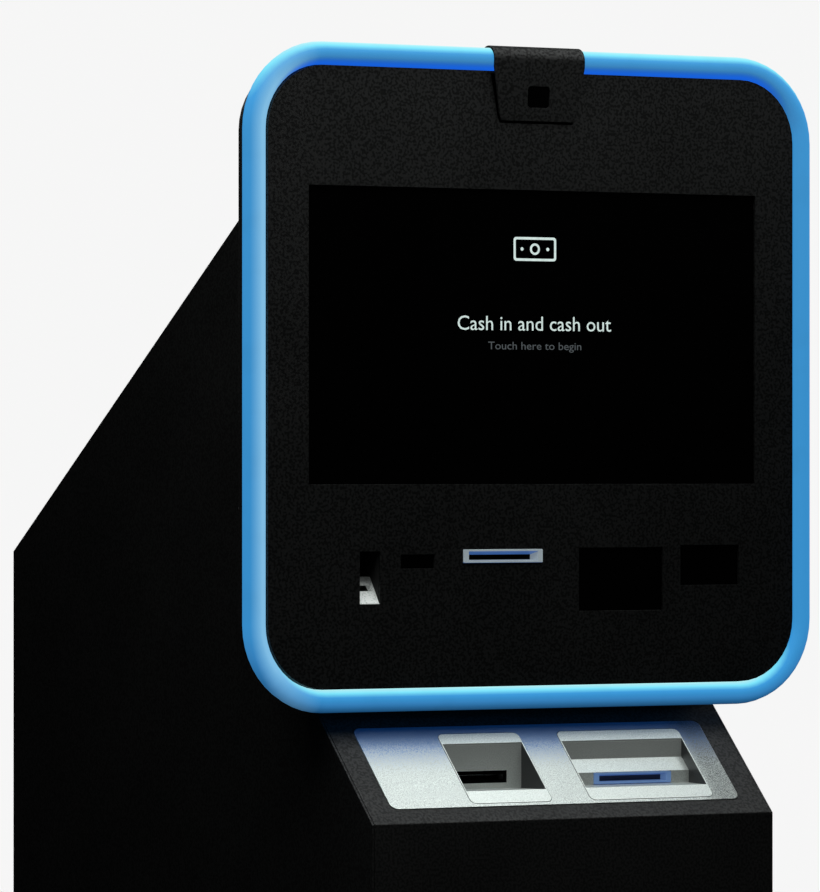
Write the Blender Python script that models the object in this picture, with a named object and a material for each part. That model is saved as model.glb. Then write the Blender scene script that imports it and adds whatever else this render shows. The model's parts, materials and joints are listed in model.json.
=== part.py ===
"""Floor-standing cash kiosk with a square glowing head, built from its separate pieces.

Metres, +Z up, X to the customer's right, Y from the customer towards the rear.
The origin is on the floor, in the middle of the kiosk's outline.
"""
import math

import bmesh
import bpy
from mathutils import Matrix, Vector

# ---------------------------------------------------------------- driving dimensions
GAP = 0.0003                # clearance between pieces that rest on each other
SHEET = 0.0025              # cabinet sheet steel

CABINET_WIDTH = 0.4484
CABINET_DEPTH = 0.753
FRONT_Y = -0.3875           # front of the cabinet; the rear handle balances the outline
REAR_Y = FRONT_Y + CABINET_DEPTH
SHELF_EDGE_Z = 0.8604       # bend between the front and the sloping shelf
SHELF_SLOPE = math.radians(43.5)
REAR_WALL_TOP_Z = 1.1083
BACK_SLOPE = math.radians(33.75)

HEAD_SIZE = 0.600
HEAD_RADIUS = 0.066
HEAD_CENTRE_Z = 1.2808
FACE_Y = FRONT_Y + 0.073
PANEL_THICKNESS = 0.003
PANEL_INSET = 0.0045        # the face panel stops short of the light tube
DOOR_REAR_Y = FACE_Y + 0.0204
HOUSING_FRONT_Y = FACE_Y + 0.0210
HOUSING_REAR_Y = FACE_Y + 0.050

TUBE_RADIUS = 0.011
TUBE_OFFSET = 0.007         # tube centre outside the head's nominal outline
TUBE_Y = FACE_Y + 0.0066

SCREEN_WIDTH = 0.503
SCREEN_HEIGHT = 0.2833
SCREEN_BOTTOM_Z = 1.1793

SAFE_TOP_Z = 0.700
SAFE_WALL = 0.006
SAFE_DOOR_THICKNESS = 0.0085
SAFE_DOOR_CLEARANCE = 0.001   # lets the door's inner corner swing past the safe's edge
EQUIPMENT_SHELF_Z = 0.722

HALF_IN = CABINET_WIDTH / 2 - SHEET - GAP      # half the clear width between the side panels
BODY_FRONT_Y = HOUSING_REAR_Y + GAP            # the cabinet starts behind the head housing

# openings in the face panel: left, right, bottom, top
SLOT_RECESS = (-0.196, -0.174, 1.0650, 1.1156)
SENSOR_OPENING = (-0.151, -0.114, 1.0988, 1.1124)
NOTE_BEZEL = (-0.082, 0.0063, 1.1039, 1.1167)
QR_OPENING = (0.048, 0.1444, 1.0564, 1.1177)
READER_OPENING = (0.1644, 0.2324, 1.0803, 1.1195)
CAMERA_OPENING = (-0.012, 0.012, 1.5424, 1.5623)

# tray plate and its pockets, in the shelf's own plane: left, right, near, far
TRAY_PLATE = (-0.195, 0.195, 0.0187, 0.1254)
RECEIPT_FLANGE = (-0.1060, -0.0158, 0.0230, 0.1148)
CASH_FLANGE = (0.0273, 0.1668, 0.0230, 0.1148)
POCKET_WALL = 0.0010
POCKET_LIP_Y = FACE_Y - 0.0445   # near edge of both hollows
POCKET_REAR_Y = FACE_Y + 0.0008
RECEIPT_SLOT = (-0.0904, -0.0332, 0.8923, 0.9042)
DISPENSER_BEZEL = (0.0571, 0.1449, 0.8889, 0.8998)

# ---------------------------------------------------------------- scene and materials
for old in list(bpy.data.objects):
    bpy.data.objects.remove(old)

PARTS = bpy.data.collections.new("cash_kiosk")
CUTTERS = bpy.data.collections.new("cutters")
bpy.context.scene.collection.children.link(PARTS)
bpy.context.scene.collection.children.link(CUTTERS)

FINISHES = {
    # name: (colour, roughness, metallic)
    "powder_black": ((0.030, 0.030, 0.031), 0.60, 0.0),
    "tray_silver": ((0.62, 0.63, 0.65), 0.42, 0.6),
    "light_tube": ((0.16, 0.50, 0.90), 0.35, 0.0),
    "screen_black": ((0.004, 0.004, 0.005), 0.08, 0.0),
    "window_black": ((0.003, 0.003, 0.003), 0.12, 0.0),
    "plastic_black": ((0.015, 0.015, 0.016), 0.45, 0.0),
    "plastic_grey": ((0.45, 0.46, 0.47), 0.45, 0.0),
    "zinc": ((0.55, 0.56, 0.58), 0.35, 0.9),
    "steel": ((0.42, 0.43, 0.45), 0.30, 1.0),
    "safe_grey": ((0.20, 0.21, 0.22), 0.50, 0.0),
    "rubber": ((0.02, 0.02, 0.02), 0.85, 0.0),
    "paper": ((0.85, 0.85, 0.82), 0.80, 0.0),
}


def make_finish(name):
    colour, roughness, metallic = FINISHES[name]
    finish = bpy.data.materials.new(name)
    finish.use_nodes = True
    shader = finish.node_tree.nodes["Principled BSDF"]
    shader.inputs["Base Color"].default_value = (*colour, 1.0)
    shader.inputs["Roughness"].default_value = roughness
    shader.inputs["Metallic"].default_value = metallic
    return finish


def add_object(name, mesh, matrix, finish):
    """A part when it has a finish, otherwise a cutter or a shape joined to a part."""
    mesh.shade_smooth()
    mesh.set_sharp_from_angle(angle=math.radians(35))
    thing = bpy.data.objects.new(name, mesh)
    thing.matrix_world = matrix
    if finish is None:
        CUTTERS.objects.link(thing)
        thing.hide_render = True
        thing.display_type = "WIRE"
    else:
        PARTS.objects.link(thing)
        own = make_finish(finish)
        own.name = name + "_finish"
        mesh.materials.append(own)
    return thing


def mesh_from(bm, name):
    mesh = bpy.data.meshes.new(name)
    bm.to_mesh(mesh)
    bm.free()
    return mesh


# ---------------------------------------------------------------- shapes
def box(name, low, high, finish=None, frame=None):
    """A box between two corners, in the world or in another frame."""
    low, high = Vector(low), Vector(high)
    bm = bmesh.new()
    bmesh.ops.create_cube(bm, size=1.0)
    bmesh.ops.scale(bm, vec=high - low, verts=bm.verts)
    place = Matrix.Translation((low + high) / 2)
    if frame is not None:
        place = frame @ place
    return add_object(name, mesh_from(bm, name), place, finish)


def cylinder(name, start, end, radius, finish=None, sides=24, tip_radius=None):
    """A cylinder, or a cone when the tip has another radius, from start to end."""
    start, end = Vector(start), Vector(end)
    along = end - start
    bm = bmesh.new()
    tip = radius if tip_radius is None else tip_radius
    bmesh.ops.create_cone(bm, cap_ends=True, segments=sides, radius1=radius, radius2=tip, depth=along.length)
    turn = along.to_track_quat("Z", "Y").to_matrix().to_4x4()
    return add_object(name, mesh_from(bm, name), Matrix.Translation((start + end) / 2) @ turn, finish)


def rounded_rect(left, right, bottom, top, radius=0.0, steps=8):
    """Corner arcs joined by straight sides, counter-clockwise."""
    if radius == 0.0:
        return [(left, bottom), (right, bottom), (right, top), (left, top)]
    centres = [(right - radius, bottom + radius, -90), (right - radius, top - radius, 0),
               (left + radius, top - radius, 90), (left + radius, bottom + radius, 180)]
    points = []
    for x, y, first in centres:
        for step in range(steps + 1):
            angle = math.radians(first + 90 * step / steps)
            points.append((x + radius * math.cos(angle), y + radius * math.sin(angle)))
    return points


def funnel(name, mouth, throat, y_front, y_back):
    """A tapered cutter from a mouth to a smaller throat, both left, right, bottom, top."""
    bm = bmesh.new()
    rings = []
    for (left, right, bottom, top), y in ((mouth, y_front), (throat, y_back)):
        corners = [(left, bottom), (right, bottom), (right, top), (left, top)]
        rings.append([bm.verts.new((x, y, z)) for x, z in corners])
    front, back = rings
    bm.faces.new(front)
    bm.faces.new(back)
    for k in range(4):
        bm.faces.new((front[k], front[(k + 1) % 4], back[(k + 1) % 4], back[k]))
    bmesh.ops.recalc_face_normals(bm, faces=bm.faces)
    return add_object(name, mesh_from(bm, name), Matrix.Identity(4), None)


def lit_bezel(name, outline, y_front, depth):
    """A light frame round a mouth that narrows to a slit; both of the kiosk's note bezels are alike."""
    left, right, bottom, top = outline
    bezel = front_plate(name, [rounded_rect(*outline, 0.0008, 2)], y_front, y_front + depth, "plastic_grey")
    mouth = (left + 0.0055, right - 0.0050, bottom + 0.0018, top - 0.0017)
    throat = (left + 0.0090, right - 0.0090, bottom + 0.0029, bottom + 0.0074)
    reach = 0.001
    cut(bezel, funnel(name + "_mouth", mouth, throat, y_front - GAP, y_front + depth + reach))
    return bezel, throat


def head_outline(grow, steps=10):
    """The head's square outline, grown or shrunk with concentric corners."""
    half = HEAD_SIZE / 2 + grow
    radius = max(HEAD_RADIUS + grow, 0.004)
    return rounded_rect(-half, half, HEAD_CENTRE_Z - half, HEAD_CENTRE_Z + half, radius, steps)


def circle(x, y, radius, steps=24):
    return [(x + radius * math.cos(math.tau * k / steps), y + radius * math.sin(math.tau * k / steps))
            for k in range(steps)]


def grown(rect, margin):
    left, right, bottom, top = rect
    return (left - margin, right + margin, bottom - margin, top + margin)


def plate(name, outlines, thickness, frame, finish=None):
    """A flat plate with holes: the first outline is the rim, the others are holes."""
    curve = bpy.data.curves.new(name, "CURVE")
    curve.dimensions = "2D"
    curve.fill_mode = "BOTH"
    curve.extrude = thickness / 2
    for outline in outlines:
        spline = curve.splines.new("POLY")
        spline.points.add(len(outline) - 1)
        for point, (x, y) in zip(spline.points, outline):
            point.co = (x, y, 0.0, 1.0)
        spline.use_cyclic_u = True
    drawing = bpy.data.objects.new(name + "_drawing", curve)
    bpy.context.scene.collection.objects.link(drawing)
    evaluated = drawing.evaluated_get(bpy.context.evaluated_depsgraph_get())
    mesh = bpy.data.meshes.new_from_object(evaluated)
    bpy.data.objects.remove(drawing)
    bm = bmesh.new()
    bm.from_mesh(mesh)
    bmesh.ops.remove_doubles(bm, verts=bm.verts, dist=0.00001)
    bmesh.ops.recalc_face_normals(bm, faces=bm.faces)
    bmesh.ops.translate(bm, vec=(0, 0, thickness / 2), verts=bm.verts)
    bm.to_mesh(mesh)
    bm.free()
    mesh.materials.clear()
    return add_object(name, mesh, frame, finish)


def front_plate(name, outlines, y_front, y_back, finish=None):
    """Outlines in X and Z, between two depths."""
    frame = Matrix.Translation((0, y_back, 0)) @ Matrix.Rotation(math.pi / 2, 4, "X")
    return plate(name, outlines, y_back - y_front, frame, finish)


def side_plate(name, outlines, x_low, x_high, finish=None):
    """Outlines in Y and Z, between two sides."""
    turn = Matrix(((0, 0, 1, 0), (1, 0, 0, 0), (0, 1, 0, 0), (0, 0, 0, 1)))
    return plate(name, outlines, x_high - x_low, Matrix.Translation((x_low, 0, 0)) @ turn, finish)


def floor_plate(name, outlines, z_low, z_high, finish=None):
    """Outlines in X and Y, between two heights."""
    return plate(name, outlines, z_high - z_low, Matrix.Translation((0, 0, z_low)), finish)


def swept_ring(name, section, finish=None):
    """A closed section of (growth, depth) points carried round the head's outline."""
    bm = bmesh.new()
    rings = [[bm.verts.new((x, y, z)) for x, z in head_outline(grow)] for grow, y in section]
    count = len(rings[0])
    for ring, following in zip(rings, rings[1:] + rings[:1]):
        for k in range(count):
            bm.faces.new((ring[k], ring[(k + 1) % count], following[(k + 1) % count], following[k]))
    bmesh.ops.recalc_face_normals(bm, faces=bm.faces)
    return add_object(name, mesh_from(bm, name), Matrix.Identity(4), finish)


# the shelf's plane: X across, Y up the slope from the front bend, Z out of the surface
SHELF_FRAME = Matrix.Translation((0, FRONT_Y, SHELF_EDGE_Z)) @ Matrix.Rotation(SHELF_SLOPE, 4, "X")
# the sloping back's plane: X across, Y up the slope from the rear edge, Z out of the surface
BACK_FRAME = (Matrix.Translation((0, REAR_Y, REAR_WALL_TOP_Z)) @ Matrix.Rotation(math.pi, 4, "Z")
              @ Matrix.Rotation(BACK_SLOPE, 4, "X"))
BACK_LENGTH = (REAR_Y - BODY_FRONT_Y) / math.cos(BACK_SLOPE)


def in_plane(frame, thickness_above, thickness_below):
    """The frame moved down so that a plate fills the given heights around the surface."""
    return frame @ Matrix.Translation((0, 0, -thickness_below)), thickness_above + thickness_below


def plane_plate(name, outlines, frame, above, below, finish=None):
    lowered, thickness = in_plane(frame, above, below)
    return plate(name, outlines, thickness, lowered, finish)


# ---------------------------------------------------------------- joining and cutting
def boolean(target, tool, operation):
    modifier = target.modifiers.new(operation.lower() + "_" + tool.name, "BOOLEAN")
    modifier.operation = operation
    modifier.object = tool
    modifier.solver = "EXACT"


def cut(target, *tools):
    for tool in tools:
        boolean(target, tool, "DIFFERENCE")


def join(target, *tools):
    for tool in tools:
        boolean(target, tool, "UNION")


def pivot(name, location):
    """An empty on a joint's axis, which its moving pieces hang from."""
    empty = bpy.data.objects.new(name, None)
    empty.empty_display_size = 0.03
    empty.location = location
    PARTS.objects.link(empty)
    return empty


def hang(empty, *pieces):
    for piece in pieces:
        piece.parent = empty
        piece.matrix_parent_inverse = Matrix.Translation(empty.location).inverted()


# ---------------------------------------------------------------- cabinet
def side_outline():
    """The cabinet seen from the side, from the floor round to the sloping back."""
    front_slope_z = SHELF_EDGE_Z + (BODY_FRONT_Y - FRONT_Y) * math.tan(SHELF_SLOPE)
    back_top_z = REAR_WALL_TOP_Z + (REAR_Y - BODY_FRONT_Y) * math.tan(BACK_SLOPE)
    return [(FRONT_Y, 0.001), (REAR_Y, 0.001), (REAR_Y, REAR_WALL_TOP_Z), (BODY_FRONT_Y, back_top_z),
            (BODY_FRONT_Y, front_slope_z), (FRONT_Y, SHELF_EDGE_Z)]


def make_cabinet():
    half = CABINET_WIDTH / 2
    side_plate("side_panel_left", [side_outline()], -half, -half + SHEET, "powder_black")
    side_plate("side_panel_right", [side_outline()], half - SHEET, half, "powder_black")

    # the front and the shelf are one folded sheet, with an opening for the tray plate
    slope_y, slope_z = math.cos(SHELF_SLOPE), math.sin(SHELF_SLOPE)
    length = (BODY_FRONT_Y - FRONT_Y) / slope_y - 0.001
    corner = SHEET * math.tan(math.pi / 4 - SHELF_SLOPE / 2)
    top_y, top_z = FRONT_Y + length * slope_y, SHELF_EDGE_Z + length * slope_z
    fold = [(FRONT_Y, 0.001), (FRONT_Y + SHEET, 0.001), (FRONT_Y + SHEET, SHELF_EDGE_Z - corner),
            (top_y + SHEET * slope_z, top_z - SHEET * slope_y), (top_y, top_z), (FRONT_Y, SHELF_EDGE_Z)]
    shell = side_plate("front_shell", [fold], -HALF_IN, HALF_IN, "powder_black")
    seat = rounded_rect(*grown(TRAY_PLATE, 0.0004), 0.0084, 5)
    cut(shell, plane_plate("tray_seat_cutter", [seat], SHELF_FRAME, 0.01, 0.02))

    plate_outline = rounded_rect(*TRAY_PLATE, 0.008, 5)
    pockets = [rounded_rect(*grown(rect, 0.0004), 0.0064, 4) for rect in (RECEIPT_FLANGE, CASH_FLANGE)]
    plane_plate("tray_plate", [plate_outline] + pockets, SHELF_FRAME, 0.0005, 0.0015, "tray_silver")

    base = rounded_rect(-HALF_IN, HALF_IN, FRONT_Y + SHEET + GAP, REAR_Y - SHEET)
    anchors = [circle(sx * 0.165, sy * 0.28, 0.007, 16) for sx in (-1, 1) for sy in (-1, 1)]
    floor_plate("base_plate", [base] + anchors, 0.0, 0.006, "zinc")


def make_equipment_shelf():
    riser_hole = rounded_rect(0.046, 0.154, FACE_Y + 0.080, FACE_Y + 0.135)
    rim = rounded_rect(-HALF_IN, HALF_IN, FRONT_Y + 0.010, REAR_Y - 0.010)
    floor_plate("equipment_shelf", [rim, riser_hole], EQUIPMENT_SHELF_Z, EQUIPMENT_SHELF_Z + 0.002, "zinc")


def pocket(name, flange, section, finish):
    """A sheet pocket: near and far flanges in the shelf's plane, and walls around a hollow."""
    left, right = flange[:2]
    rim = rounded_rect(*flange, 0.006, 4)
    body = plane_plate(name, [rim], SHELF_FRAME, 0.0005, 0.0010, finish)
    inner = [point for point, offset in section]
    lip_front, lip_back = inner[0], inner[-1]
    outer = [(lip_front[0], lip_front[1] - 0.0005)] + [(y + dy, z + dz) for (y, z), (dy, dz) in section]
    # the hollow opens upwards, square to the shelf
    up = Vector((-math.sin(SHELF_SLOPE), math.cos(SHELF_SLOPE)))
    inner_open = inner + [(lip_back[0] + up.x * 0.02, lip_back[1] + up.y * 0.02),
                          (lip_front[0] + up.x * 0.02, lip_front[1] + up.y * 0.02)]
    join(body, side_plate(name + "_basin", [outer], left + 0.0001, right - 0.0001))
    cut(body, side_plate(name + "_hollow", [inner_open], left + POCKET_WALL, right - POCKET_WALL))
    return body


def make_tray():
    """Two pockets under the tray plate: receipts on the left, banknotes on the right."""
    wall = POCKET_WALL
    lip, rear = POCKET_LIP_Y, POCKET_REAR_Y

    def surface(y):
        """Height of the shelf's surface at a depth."""
        return SHELF_EDGE_Z + (y - FRONT_Y) * math.tan(SHELF_SLOPE)

    receipt = pocket("receipt_pocket", RECEIPT_FLANGE, [
        ((lip, surface(lip)), (0.0, -0.0030)),
        ((rear, 0.8866), (wall, -wall)),
        ((rear, surface(rear)), (wall, -0.0005)),
    ], "tray_silver")
    cut(receipt, box("receipt_slot_cutter", (RECEIPT_SLOT[0], rear - 0.001, RECEIPT_SLOT[2]),
                     (RECEIPT_SLOT[1], rear + 0.004, RECEIPT_SLOT[3])))

    step = FACE_Y - 0.0125
    cash = pocket("cash_pocket", CASH_FLANGE, [
        ((lip, surface(lip)), (0.0, -0.0030)),
        ((step, 0.8882), (wall, -wall)),
        ((step, 0.9004), (wall, -0.0006)),
        ((rear, 0.9128), (wall, -0.0006)),
        ((rear, surface(rear)), (wall, -0.0005)),
    ], "tray_silver")
    left, right, bottom, top = grown(DISPENSER_BEZEL, GAP)
    cut(cash, box("dispenser_bezel_cutter", (left, step - 0.001, bottom), (right, step + 0.004, top)))

    # black mouthpiece behind the receipt slot
    mouth = grown(RECEIPT_SLOT, 0.004)
    slit = (RECEIPT_SLOT[0] + 0.001, RECEIPT_SLOT[1] - 0.001, 0.8960, 0.9005)
    mouth_front = rear + wall + GAP
    front_plate("receipt_mouth", [rounded_rect(*mouth), rounded_rect(*slit)],
                mouth_front, mouth_front + 0.004, "plastic_black")

    # light bezel of the dispenser, set in the pocket's lower wall
    bezel_front = step - 0.0010
    lit_bezel("dispenser_bezel", DISPENSER_BEZEL, bezel_front, 0.0065)
    left, right, bottom, top = DISPENSER_BEZEL
    return box("dispenser_shutter", (left + 0.003, bezel_front + 0.0068, bottom + 0.0005),
               (right - 0.003, bezel_front + 0.0083, top - 0.0005), "steel")


# ---------------------------------------------------------------- head
def make_housing():
    """The fixed tub behind the head door, open to the cabinet."""
    rear_in = HOUSING_REAR_Y - SHEET
    housing = swept_ring("head_housing", [
        (0.0, HOUSING_FRONT_Y), (0.0, HOUSING_REAR_Y), (-0.078, HOUSING_REAR_Y), (-0.078, rear_in),
        (-SHEET, rear_in), (-SHEET, HOUSING_FRONT_Y),
    ], "powder_black")
    cut(housing, box("stacker_passage", (-0.110, rear_in - 0.01, 0.995), (0.040, rear_in + 0.01, 1.070)))
    return housing


def make_face():
    screen_top = SCREEN_BOTTOM_Z + SCREEN_HEIGHT
    openings = [rounded_rect(-SCREEN_WIDTH / 2, SCREEN_WIDTH / 2, SCREEN_BOTTOM_Z, screen_top)]
    openings += [rounded_rect(*rect) for rect in (SLOT_RECESS, SENSOR_OPENING, QR_OPENING, READER_OPENING)]
    openings += [rounded_rect(*grown(NOTE_BEZEL, GAP)), rounded_rect(*CAMERA_OPENING)]
    return front_plate("face_panel", [head_outline(-PANEL_INSET)] + openings,
                       FACE_Y, FACE_Y + PANEL_THICKNESS, "powder_black")


def make_door_frame():
    """The pan behind the face panel, with a flange that carries the light tube."""
    front = FACE_Y + PANEL_THICKNESS + GAP
    wall_out, wall_in = -PANEL_INSET, -PANEL_INSET - 0.003
    return swept_ring("door_frame", [
        (-0.018, front), (wall_out, front), (wall_out, DOOR_REAR_Y - 0.0024), (0.010, DOOR_REAR_Y - 0.0024),
        (0.010, DOOR_REAR_Y), (wall_in, DOOR_REAR_Y), (wall_in, front + 0.002), (-0.018, front + 0.002),
    ], "powder_black")


def make_light_tube():
    """One closed run of diffuser tube around the face."""
    curve = bpy.data.curves.new("light_tube", "CURVE")
    curve.dimensions = "3D"
    curve.bevel_depth = TUBE_RADIUS
    curve.bevel_resolution = 4
    outline = head_outline(TUBE_OFFSET, 12)
    spline = curve.splines.new("POLY")
    spline.points.add(len(outline) - 1)
    for point, (x, z) in zip(spline.points, outline):
        point.co = (x, TUBE_Y, z, 1.0)
    spline.use_cyclic_u = True
    drawing = bpy.data.objects.new("light_tube_drawing", curve)
    bpy.context.scene.collection.objects.link(drawing)
    evaluated = drawing.evaluated_get(bpy.context.evaluated_depsgraph_get())
    mesh = bpy.data.meshes.new_from_object(evaluated)
    bpy.data.objects.remove(drawing)
    mesh.materials.clear()
    return add_object("light_tube", mesh, Matrix.Identity(4), "light_tube")


def make_screen():
    left, right, bottom, top = grown((-SCREEN_WIDTH / 2, SCREEN_WIDTH / 2, SCREEN_BOTTOM_Z,
                                      SCREEN_BOTTOM_Z + SCREEN_HEIGHT), 0.007)
    glass_front = FACE_Y + PANEL_THICKNESS + GAP
    glass = front_plate("screen_glass", [rounded_rect(left, right, bottom, top)],
                        glass_front, glass_front + 0.003, "screen_black")
    chassis_front = glass_front + 0.003 + GAP
    left, right, bottom, top = grown((left, right, bottom, top), 0.004)
    module = box("lcd_module", (left, chassis_front, bottom), (right, chassis_front + 0.020, top), "zinc")
    return glass, module


def make_camera():
    """A sheet bracket hooked over the tube and leaning on the face, with a camera behind a black window."""
    tube_z = HEAD_CENTRE_Z + HEAD_SIZE / 2 + TUBE_OFFSET
    inner, outer = TUBE_RADIUS + GAP, TUBE_RADIUS + GAP + 0.002
    foot_z = 1.529
    arc = [math.radians(35 + 145 * step / 12) for step in range(13)]
    outer_run = [(TUBE_Y + outer * math.cos(a), tube_z + outer * math.sin(a)) for a in arc]
    inner_run = [(TUBE_Y + inner * math.cos(a), tube_z + inner * math.sin(a)) for a in reversed(arc)]
    foot = [(FACE_Y - GAP - 0.002, foot_z), (FACE_Y - GAP, foot_z)]
    bracket = side_plate("camera_bracket", [outer_run + foot + inner_run], -0.055, 0.055, "powder_black")
    shoulder_z = 1.5808
    right_side = [(0.0405, foot_z - 0.0005), (0.0430, foot_z + 0.006), (0.0508, shoulder_z), (0.0508, 1.620)]
    outline = [(-x, z) for x, z in reversed(right_side)] + right_side
    trim = front_plate("bracket_outline", [outline], FACE_Y - 0.05, FACE_Y + 0.05)
    boolean(bracket, trim, "INTERSECT")
    hole = rounded_rect(*grown(CAMERA_OPENING, GAP), 0.0033, 3)
    cut(bracket, front_plate("camera_hole", [hole], FACE_Y - 0.02, FACE_Y - 0.0005))
    window_back = FACE_Y - 0.0014
    window = front_plate("camera_window", [rounded_rect(*CAMERA_OPENING, 0.003, 3)],
                         window_back - 0.0014, window_back, "window_black")
    module = box("camera_module", (-0.010, window_back + GAP, 1.5434), (0.010, FACE_Y + 0.016, 1.5613),
                 "plastic_black")
    return bracket, window, module


def make_customer_devices():
    """What sits behind the row of openings below the screen."""
    behind = FACE_Y + PANEL_THICKNESS + GAP
    left, right, bottom, top = SLOT_RECESS
    recess = box("slot_recess_box", (left - 0.0035, behind, bottom - 0.0035),
                 (right + 0.0035, behind + 0.031, top + 0.0035), "plastic_black")
    cut(recess, box("slot_recess_hollow", (left, behind - 0.01, bottom), (right, behind + 0.029, top)))
    ramp_toe, ramp_top, ramp_back = FACE_Y + 0.0006, bottom + 0.0262, FACE_Y + 0.0190
    ramp = side_plate("slot_ramp", [[(ramp_toe, bottom + GAP), (ramp_back + 0.010, bottom + GAP),
                                     (ramp_back + 0.010, ramp_top), (ramp_back, ramp_top),
                                     (ramp_toe, bottom + 0.0010)]], left + GAP, right - GAP, "plastic_grey")
    slit_low, slit_high = bottom + 0.0126, bottom + 0.0179
    cut(ramp, box("ramp_slit_cutter", (left + 0.0042, behind - 0.002, slit_low),
                  (right - 0.0042, ramp_back + 0.006, slit_high)))

    window_back = behind + 0.002
    sensor = front_plate("sensor_window", [rounded_rect(*grown(SENSOR_OPENING, 0.003))],
                         behind, window_back, "window_black")
    qr_window = front_plate("qr_window", [rounded_rect(*grown(QR_OPENING, 0.004))],
                            behind, window_back, "window_black")
    reader_window = front_plate("reader_window", [rounded_rect(*grown(READER_OPENING, 0.004))],
                                behind, window_back, "window_black")
    left, right, bottom, top = grown(QR_OPENING, -0.010)
    scanner = box("qr_scanner", (left, window_back + GAP, bottom), (right, window_back + 0.040, top),
                  "plastic_black")
    left, right, bottom, top = grown(READER_OPENING, -0.002)
    reader = box("contactless_reader", (left, window_back + GAP, bottom), (right, window_back + 0.009, top),
                 "plastic_black")
    return recess, ramp, sensor, qr_window, reader_window, scanner, reader


def make_note_acceptor():
    """Bezel, validator and stacker, all carried by the head door."""
    left, right, bottom, top = NOTE_BEZEL
    bezel_front, bezel_depth = FACE_Y - 0.0012, 0.010
    bezel, throat = lit_bezel("note_bezel", NOTE_BEZEL, bezel_front, bezel_depth)
    bezel_back = bezel_front + bezel_depth
    middle = (left + right) / 2
    validator = box("note_validator", (middle - 0.050, bezel_back + GAP, 1.0750),
                    (middle + 0.050, FACE_Y + 0.150, 1.1500), "plastic_black")
    mouth = grown(throat, 0.0004)
    cut(validator, box("validator_mouth", (mouth[0], bezel_back - 0.01, mouth[2]),
                       (mouth[1], FACE_Y + 0.045, mouth[3])))
    stacker = box("note_stacker", (middle - 0.049, FACE_Y + 0.035, 1.0100),
                  (middle + 0.049, FACE_Y + 0.170, 1.0747), "plastic_black")
    return bezel, validator, stacker


# ---------------------------------------------------------------- hinges
def knuckle_hinge(name, door, frame, axis_point, along, centre, radius, pin_radius, span=0.024):
    """Knuckles of the door either side of one of the frame, bored for a pin; returns the pin's ends."""
    along = Vector(along)
    origin = Vector(axis_point) + along * centre
    half = span / 2
    pieces = {"frame": [(-half, half)], "door": [(-2 * half, -half - 0.0005), (half + 0.0005, 2 * half)]}
    for owner, target in (("frame", frame), ("door", door)):
        for index, (low, high) in enumerate(pieces[owner]):
            join(target, cylinder(f"{name}_{owner}_knuckle_{index}", origin + along * low,
                                  origin + along * high, radius, None, 16))
    bore = cylinder(name + "_bore", origin - along * 2.2 * half, origin + along * 2.2 * half,
                    pin_radius + 0.0001, None, 16)
    cut(door, bore)
    cut(frame, bore)
    return origin - along * 1.98 * half, origin + along * 1.98 * half


HEAD_HINGE = Vector((-0.3035, FACE_Y + 0.0207, 0.0))
HEAD_HINGE_HEIGHTS = {"lower": 1.090, "upper": 1.470}


def hinge_head_door(frame, housing):
    """Two small hinges hidden behind the tube, on the customer's left."""
    for place, height in HEAD_HINGE_HEIGHTS.items():
        x, y = HEAD_HINGE.x, HEAD_HINGE.y
        cut(frame, box(f"head_hinge_{place}_notch", (x - 0.010, y - 0.006, height - 0.0125),
                       (x + 0.0042, y + 0.006, height + 0.0125)))
        join(housing, box(f"head_hinge_{place}_leaf", (x, y + 0.0008, height - 0.0119),
                          (x + 0.0045, y + 0.015, height + 0.0119)))
        ends = knuckle_hinge(f"head_hinge_{place}", frame, housing, HEAD_HINGE, (0, 0, 1), height,
                             0.003, 0.0015)
        cylinder(f"head_hinge_{place}_pin", *ends, 0.0015, "steel", 16)


# ---------------------------------------------------------------- locks
def make_head_lock(housing, frame):
    """Cam lock in the housing's right side; its cam turns in front of a hook on the door."""
    y, z = FACE_Y + 0.0365, 1.280
    cut(housing, cylinder("head_lock_hole", (0.290, y, z), (0.310, y, z), 0.0093))
    hook = box("lock_hook_arm", (0.2900, FACE_Y + 0.012, z + 0.012), (0.2926, FACE_Y + 0.0440, z + 0.030))
    join(frame, hook, box("lock_hook_end", (0.2835, FACE_Y + 0.0414, z + 0.0121),
                          (0.2915, FACE_Y + 0.0439, z + 0.0299)))
    lock = cylinder("head_lock", (0.2845, y, z), (0.3025, y, z), 0.009, "steel")
    join(lock, cylinder("head_lock_rim", (0.3004, y, z), (0.3031, y, z), 0.0115),
         box("head_lock_cam", (0.2846, y - 0.026, z - 0.004), (0.2880, y, z + 0.004)))
    cut(lock, box("head_lock_key_slot", (0.3020, y - 0.0008, z - 0.0045), (0.3040, y + 0.0008, z + 0.0045)))
    return lock, Vector((0.295, y, z))


# ---------------------------------------------------------------- rear: safe, door and bolts
SAFE_HINGE = Vector((-0.2180, REAR_Y + 0.0035, 0.0))
SAFE_HINGE_HEIGHTS = {"lower": 0.120, "upper": 0.600}
SAFE_HANDLE = Vector((0.105, REAR_Y, 0.400))
BOLT_HEIGHTS = (0.120, 0.400, 0.620)
BOLT_Y = REAR_Y - 0.0225


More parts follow.
